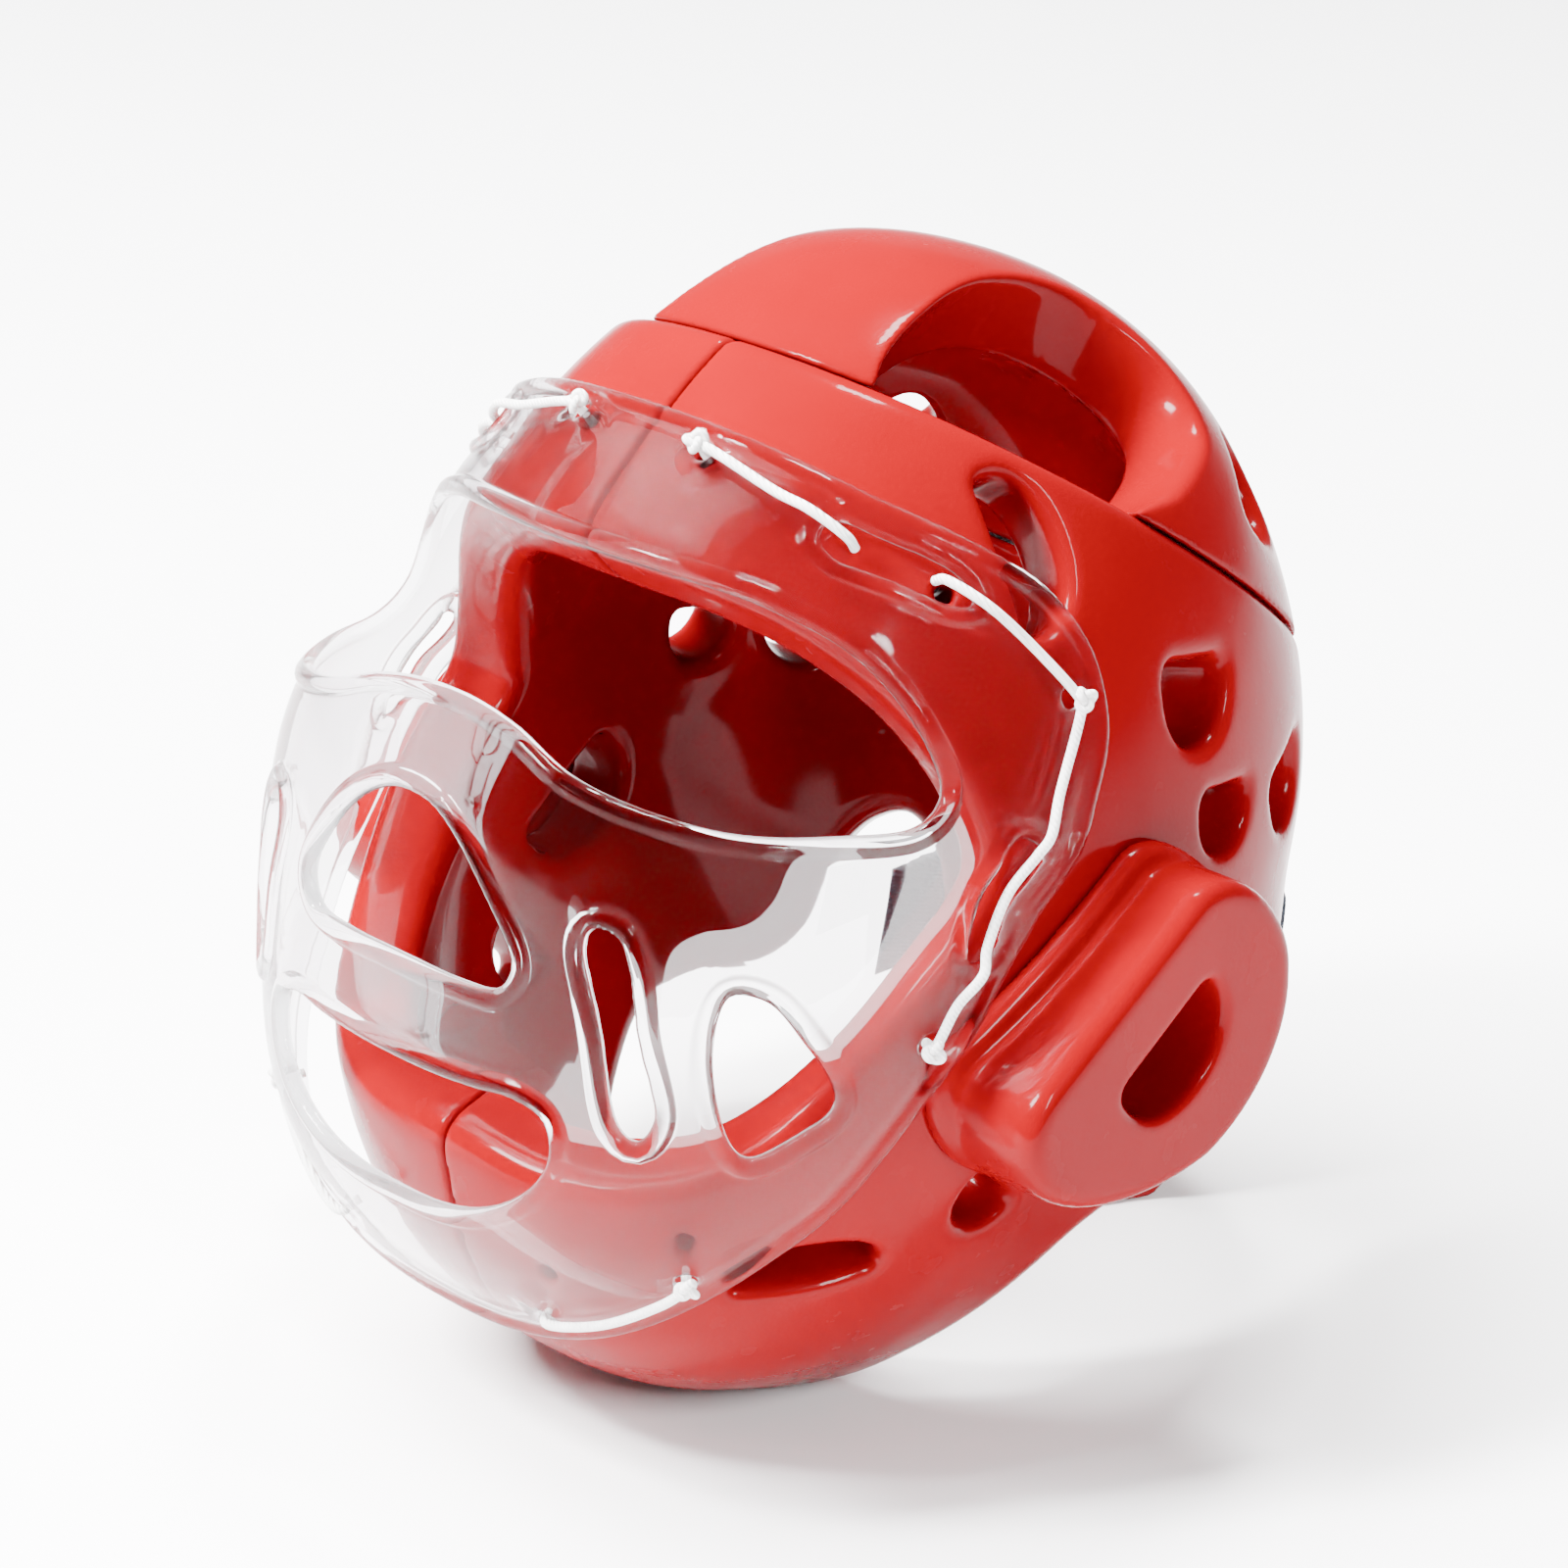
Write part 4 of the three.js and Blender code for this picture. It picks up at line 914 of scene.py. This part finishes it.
def build_strap():
    across, ring = 90, 44
    side = np.linspace(1, -1, across)[:, None]
    turn = np.linspace(0, 2 * np.pi, ring, endpoint=False)[None]
    up = np.sign(np.cos(turn)) * np.abs(np.cos(turn)) ** STRAP_SQUARE
    out = np.sign(np.sin(turn)) * np.abs(np.sin(turn)) ** STRAP_ROUND
    height = STRAP_MIDDLE + STRAP_TILT * side - STRAP_SAG * side**2
    x = np.broadcast_to(STRAP_HALF_SPAN * side, (across, ring))
    z = height + STRAP_HEIGHT / 2 * np.broadcast_to(up, (across, ring))
    base = back_place(x, z, 2 * PIECE_GAP + STRAP_THICKNESS / 2)
    q = base - [0, 0, CENTRE_HEIGHT]
    q /= np.linalg.norm(q, axis=-1, keepdims=True)
    points = base + q * (STRAP_THICKNESS / 2 * out)[..., None]
    points = points.reshape(-1, 3)
    faces = []
    for k in range(across - 1):
        for j in range(ring):
            i = (j + 1) % ring
            faces.append((k * ring + j, (k + 1) * ring + j, (k + 1) * ring + i, k * ring + i))
    last = (across - 1) * ring
    faces.append(tuple(range(ring)))
    faces.append(tuple(last + j for j in reversed(range(ring))))
    return points, faces


def node_tree(name):
    material = bpy.data.materials.new(name)
    material.use_nodes = True
    tree = material.node_tree
    return material, tree, tree.nodes["Principled BSDF"]


def link(tree, a, b):
    tree.links.new(a, b)


def noise(tree, coords, scale, detail=4.0, rough=0.5):
    n = tree.nodes.new("ShaderNodeTexNoise")
    n.inputs["Scale"].default_value = scale
    n.inputs["Detail"].default_value = detail
    n.inputs["Roughness"].default_value = rough
    link(tree, coords, n.inputs["Vector"])
    return n.outputs["Fac"]


def ramp(tree, value, stops):
    r = tree.nodes.new("ShaderNodeValToRGB")
    for k, (at, colour) in enumerate(stops):
        e = r.color_ramp.elements[k] if k < 2 else r.color_ramp.elements.new(at)
        e.position = at
        e.color = (*colour, 1)
    link(tree, value, r.inputs["Fac"])
    return r.outputs["Color"]


def bump(tree, height, strength, distance, before=None):
    b = tree.nodes.new("ShaderNodeBump")
    b.inputs["Strength"].default_value = strength
    b.inputs["Distance"].default_value = distance
    link(tree, height, b.inputs["Height"])
    if before:
        link(tree, before, b.inputs["Normal"])
    return b.outputs["Normal"]


def vinyl_material():
    material, tree, shader = node_tree("dipped_vinyl")
    coords = tree.nodes.new("ShaderNodeTexCoord").outputs["Object"]
    patches = noise(tree, coords, 22, 5)
    colour = ramp(tree, patches, [(0.25, (0.117, 0.0002, 0.0016)), (0.75, (0.14, 0.0003, 0.002))])
    link(tree, colour, shader.inputs["Base Color"])
    worn = ramp(tree, noise(tree, coords, 90, 6), [(0.3, (0.2, 0.2, 0.2)), (0.8, (0.32, 0.32, 0.32))])
    link(tree, worn, shader.inputs["Roughness"])
    grain = tree.nodes.new("ShaderNodeTexVoronoi")
    grain.inputs["Scale"].default_value = 900
    link(tree, coords, grain.inputs["Vector"])
    soft = bump(tree, noise(tree, coords, 14, 2), 0.22, 0.003)
    mid = bump(tree, noise(tree, coords, 160, 4), 0.10, 0.0006, soft)
    fine = bump(tree, grain.outputs["Distance"], 0.10, 0.00025, mid)
    link(tree, fine, shader.inputs["Normal"])
    shader.inputs["Specular IOR Level"].default_value = 0.012
    shader.inputs["Coat Weight"].default_value = 0.09
    shader.inputs["Coat Roughness"].default_value = 0.06
    shader.inputs["Coat IOR"].default_value = 1.5
    return material


def clear_material():
    material, tree, shader = node_tree("clear_plastic")
    coords = tree.nodes.new("ShaderNodeTexCoord").outputs["Object"]
    tint = ramp(tree, noise(tree, coords, 9, 3), [(0.3, (0.965, 0.95, 0.975)), (0.7, (0.985, 0.975, 0.99))])
    link(tree, tint, shader.inputs["Base Color"])
    smear = ramp(tree, noise(tree, coords, 60, 5), [(0.4, (0.015, 0.015, 0.015)), (0.8, (0.06, 0.06, 0.06))])
    link(tree, smear, shader.inputs["Roughness"])
    link(tree, bump(tree, noise(tree, coords, 18, 2), 0.05, 0.002), shader.inputs["Normal"])
    shader.inputs["Transmission Weight"].default_value = 1.0
    shader.inputs["IOR"].default_value = 1.2
    shader.inputs["Alpha"].default_value = 0.86
    return material


def cord_material():
    material, tree, shader = node_tree("white_cord")
    coords = tree.nodes.new("ShaderNodeTexCoord").outputs["Object"]
    colour = ramp(tree, noise(tree, coords, 300, 4), [(0.3, (0.72, 0.71, 0.70)), (0.7, (0.88, 0.87, 0.86))])
    link(tree, colour, shader.inputs["Base Color"])
    braid = tree.nodes.new("ShaderNodeTexWave")
    braid.bands_direction = "DIAGONAL"
    braid.inputs["Scale"].default_value = 420
    braid.inputs["Distortion"].default_value = 2.5
    link(tree, coords, braid.inputs["Vector"])
    link(tree, bump(tree, braid.outputs["Fac"], 0.6, 0.0004), shader.inputs["Normal"])
    shader.inputs["Roughness"].default_value = 0.75
    return material


def elastic_material():
    material, tree, shader = node_tree("dark_elastic")
    coords = tree.nodes.new("ShaderNodeTexCoord").outputs["Object"]
    fibres = noise(tree, coords, 500, 5)
    colour = ramp(tree, fibres, [(0.3, (0.006, 0.009, 0.016)), (0.7, (0.02, 0.026, 0.04))])
    link(tree, colour, shader.inputs["Base Color"])
    weave = tree.nodes.new("ShaderNodeTexWave")
    weave.bands_direction = "Z"
    weave.inputs["Scale"].default_value = 300
    weave.inputs["Distortion"].default_value = 1.0
    link(tree, coords, weave.inputs["Vector"])
    rib = tree.nodes.new("ShaderNodeTexWave")
    rib.bands_direction = "X"
    rib.inputs["Scale"].default_value = 220
    link(tree, coords, rib.inputs["Vector"])
    first = bump(tree, weave.outputs["Fac"], 0.6, 0.0006)
    link(tree, bump(tree, rib.outputs["Fac"], 0.5, 0.0005, first), shader.inputs["Normal"])
    shader.inputs["Roughness"].default_value = 0.85
    return material


def finish_piece(obj, material, slot, *nodes, fill=None):
    obj.data.materials.append(material)
    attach(obj, "root")
    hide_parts(*nodes)
    return obj


vinyl, clear, cord, elastic = vinyl_material(), clear_material(), cord_material(), elastic_material()

half = build_foam_half(FOAM_STEP)
finish_piece(add_mesh("FoamHalfLeft", *half), vinyl, "dipped_foam", "foam_half_left", fill=1.0)
finish_piece(add_mesh("FoamHalfRight", *mirrored(*half)), vinyl, "dipped_foam", "foam_half_right", fill=1.0)

crown = build_crown(CROWN_STEP)
finish_piece(add_mesh("CrownPanel", *crown), vinyl, "dipped_foam", "crown_panel", fill=1.0)

pad = build_pad(PAD_STEP)
finish_piece(add_mesh("EarPadLeft", *pad), vinyl, "dipped_foam", "ear_pad_left", fill=1.0)
finish_piece(add_mesh("EarPadRight", *mirrored(*pad)), vinyl, "dipped_foam", "ear_pad_right", fill=1.0)

points, faces = build_shield(SHIELD_SPACING)
finish_piece(add_mesh("FaceShield", points, faces), clear, "clear_plastic", "face_shield")

for name, lace in LACES.items():
    title = "".join(w.capitalize() for w in name.split("_"))
    for side, word in ((1, "left"), (-1, "right")):
        piece = add_tubes(title + word.capitalize(), lace_runs(lace, side))
        finish_piece(piece, cord, "white_cord", name + "_" + word)

finish_piece(add_polygons("RearStrap", *build_strap()), elastic, "dark_elastic", "rear_strap")


# Studio: a pale floor that runs up behind, soft boxes and an even surround
def add_floor():
    near, far, rise, half = -0.9, 4.5, 2.4, 6.0
    rows = [(near + (far - near) * k / 8, 0.0) for k in range(9)]
    for k in range(1, 17):
        turn = math.pi / 2 * k / 16
        rows.append((far + rise * math.sin(turn), rise * (1 - math.cos(turn))))
    away = Vector((-math.sin(AZIMUTH), math.cos(AZIMUTH), 0))
    side = Vector((away.y, -away.x, 0))
    verts = [away * out + side * s + Vector((0, 0, up)) for out, up in rows for s in (-half, half)]
    quads = [(2 * k, 2 * k + 1, 2 * k + 3, 2 * k + 2) for k in range(len(rows) - 1)]
    mesh = bpy.data.meshes.new("Floor")
    mesh.from_pydata([tuple(v) for v in verts], [], quads)
    mesh.polygons.foreach_set("use_smooth", [True] * len(mesh.polygons))
    floor = bpy.data.objects.new("Floor", mesh)
    bpy.context.collection.objects.link(floor)
    material, tree, shader = node_tree("floor_white")
    coords = tree.nodes.new("ShaderNodeTexCoord").outputs["Object"]
    colour = ramp(tree, noise(tree, coords, 3, 3), [(0.3, (0.93, 0.925, 0.935)), (0.7, (0.95, 0.945, 0.955))])
    link(tree, colour, shader.inputs["Base Color"])
    shader.inputs["Roughness"].default_value = 0.6
    shader.inputs["Specular IOR Level"].default_value = 0.2
    floor.data.materials.append(material)
    return floor


def soft_box(name, place, aim):
    to_left, to_camera, up, width, height, power = place
    at = left * to_left + toward * to_camera + Vector((0, 0, up))
    light = bpy.data.lights.new(name, "AREA")
    light.shape = "RECTANGLE"
    light.size, light.size_y = width, height
    light.energy = power
    obj = bpy.data.objects.new(name, light)
    obj.location = at
    obj.rotation_euler = (Vector(aim) - Vector(at)).to_track_quat("-Z", "Y").to_euler()
    bpy.context.collection.objects.link(obj)
    return obj


floor = add_floor()
aim = (0, 0, AIM_HEIGHT)
left = Vector((-math.cos(AZIMUTH), -math.sin(AZIMUTH), 0))
toward = Vector((math.sin(AZIMUTH), -math.cos(AZIMUTH), 0))
soft_box("KeyBox", KEY_BOX, aim)
soft_box("TopBox", TOP_BOX, aim)
soft_box("FrontBox", FRONT_BOX, aim)
fill = soft_box("TopFill", TOP_FILL, -toward * FILL_AIM_BACK)
fill.visible_glossy = False
world = bpy.data.worlds.new("Surround")
world.use_nodes = True
world.node_tree.nodes["Background"].inputs["Color"].default_value = (1.0, 1.0, 1.0, 1)
world.node_tree.nodes["Background"].inputs["Strength"].default_value = SURROUND
bpy.context.scene.world = world

# Camera at the photograph's angle
target = Vector((0, ORIGIN_BACK / 1000 - AIM_FORWARD, AIM_HEIGHT))
back = Vector((
    math.sin(AZIMUTH) * math.cos(ELEVATION), -math.cos(AZIMUTH) * math.cos(ELEVATION), math.sin(ELEVATION)
))
camera_data = bpy.data.cameras.new("Camera")
camera_data.sensor_width = FRAME_WIDTH
camera_data.lens = LENS
camera_data.shift_y = SHIFT_UP
camera_data.clip_end = FAR_CLIP
camera = bpy.data.objects.new("Camera", camera_data)
camera.location = target + back * DISTANCE
camera.rotation_euler = (-back).to_track_quat("-Z", "Y").to_euler()
bpy.context.collection.objects.link(camera)
bpy.context.scene.camera = camera
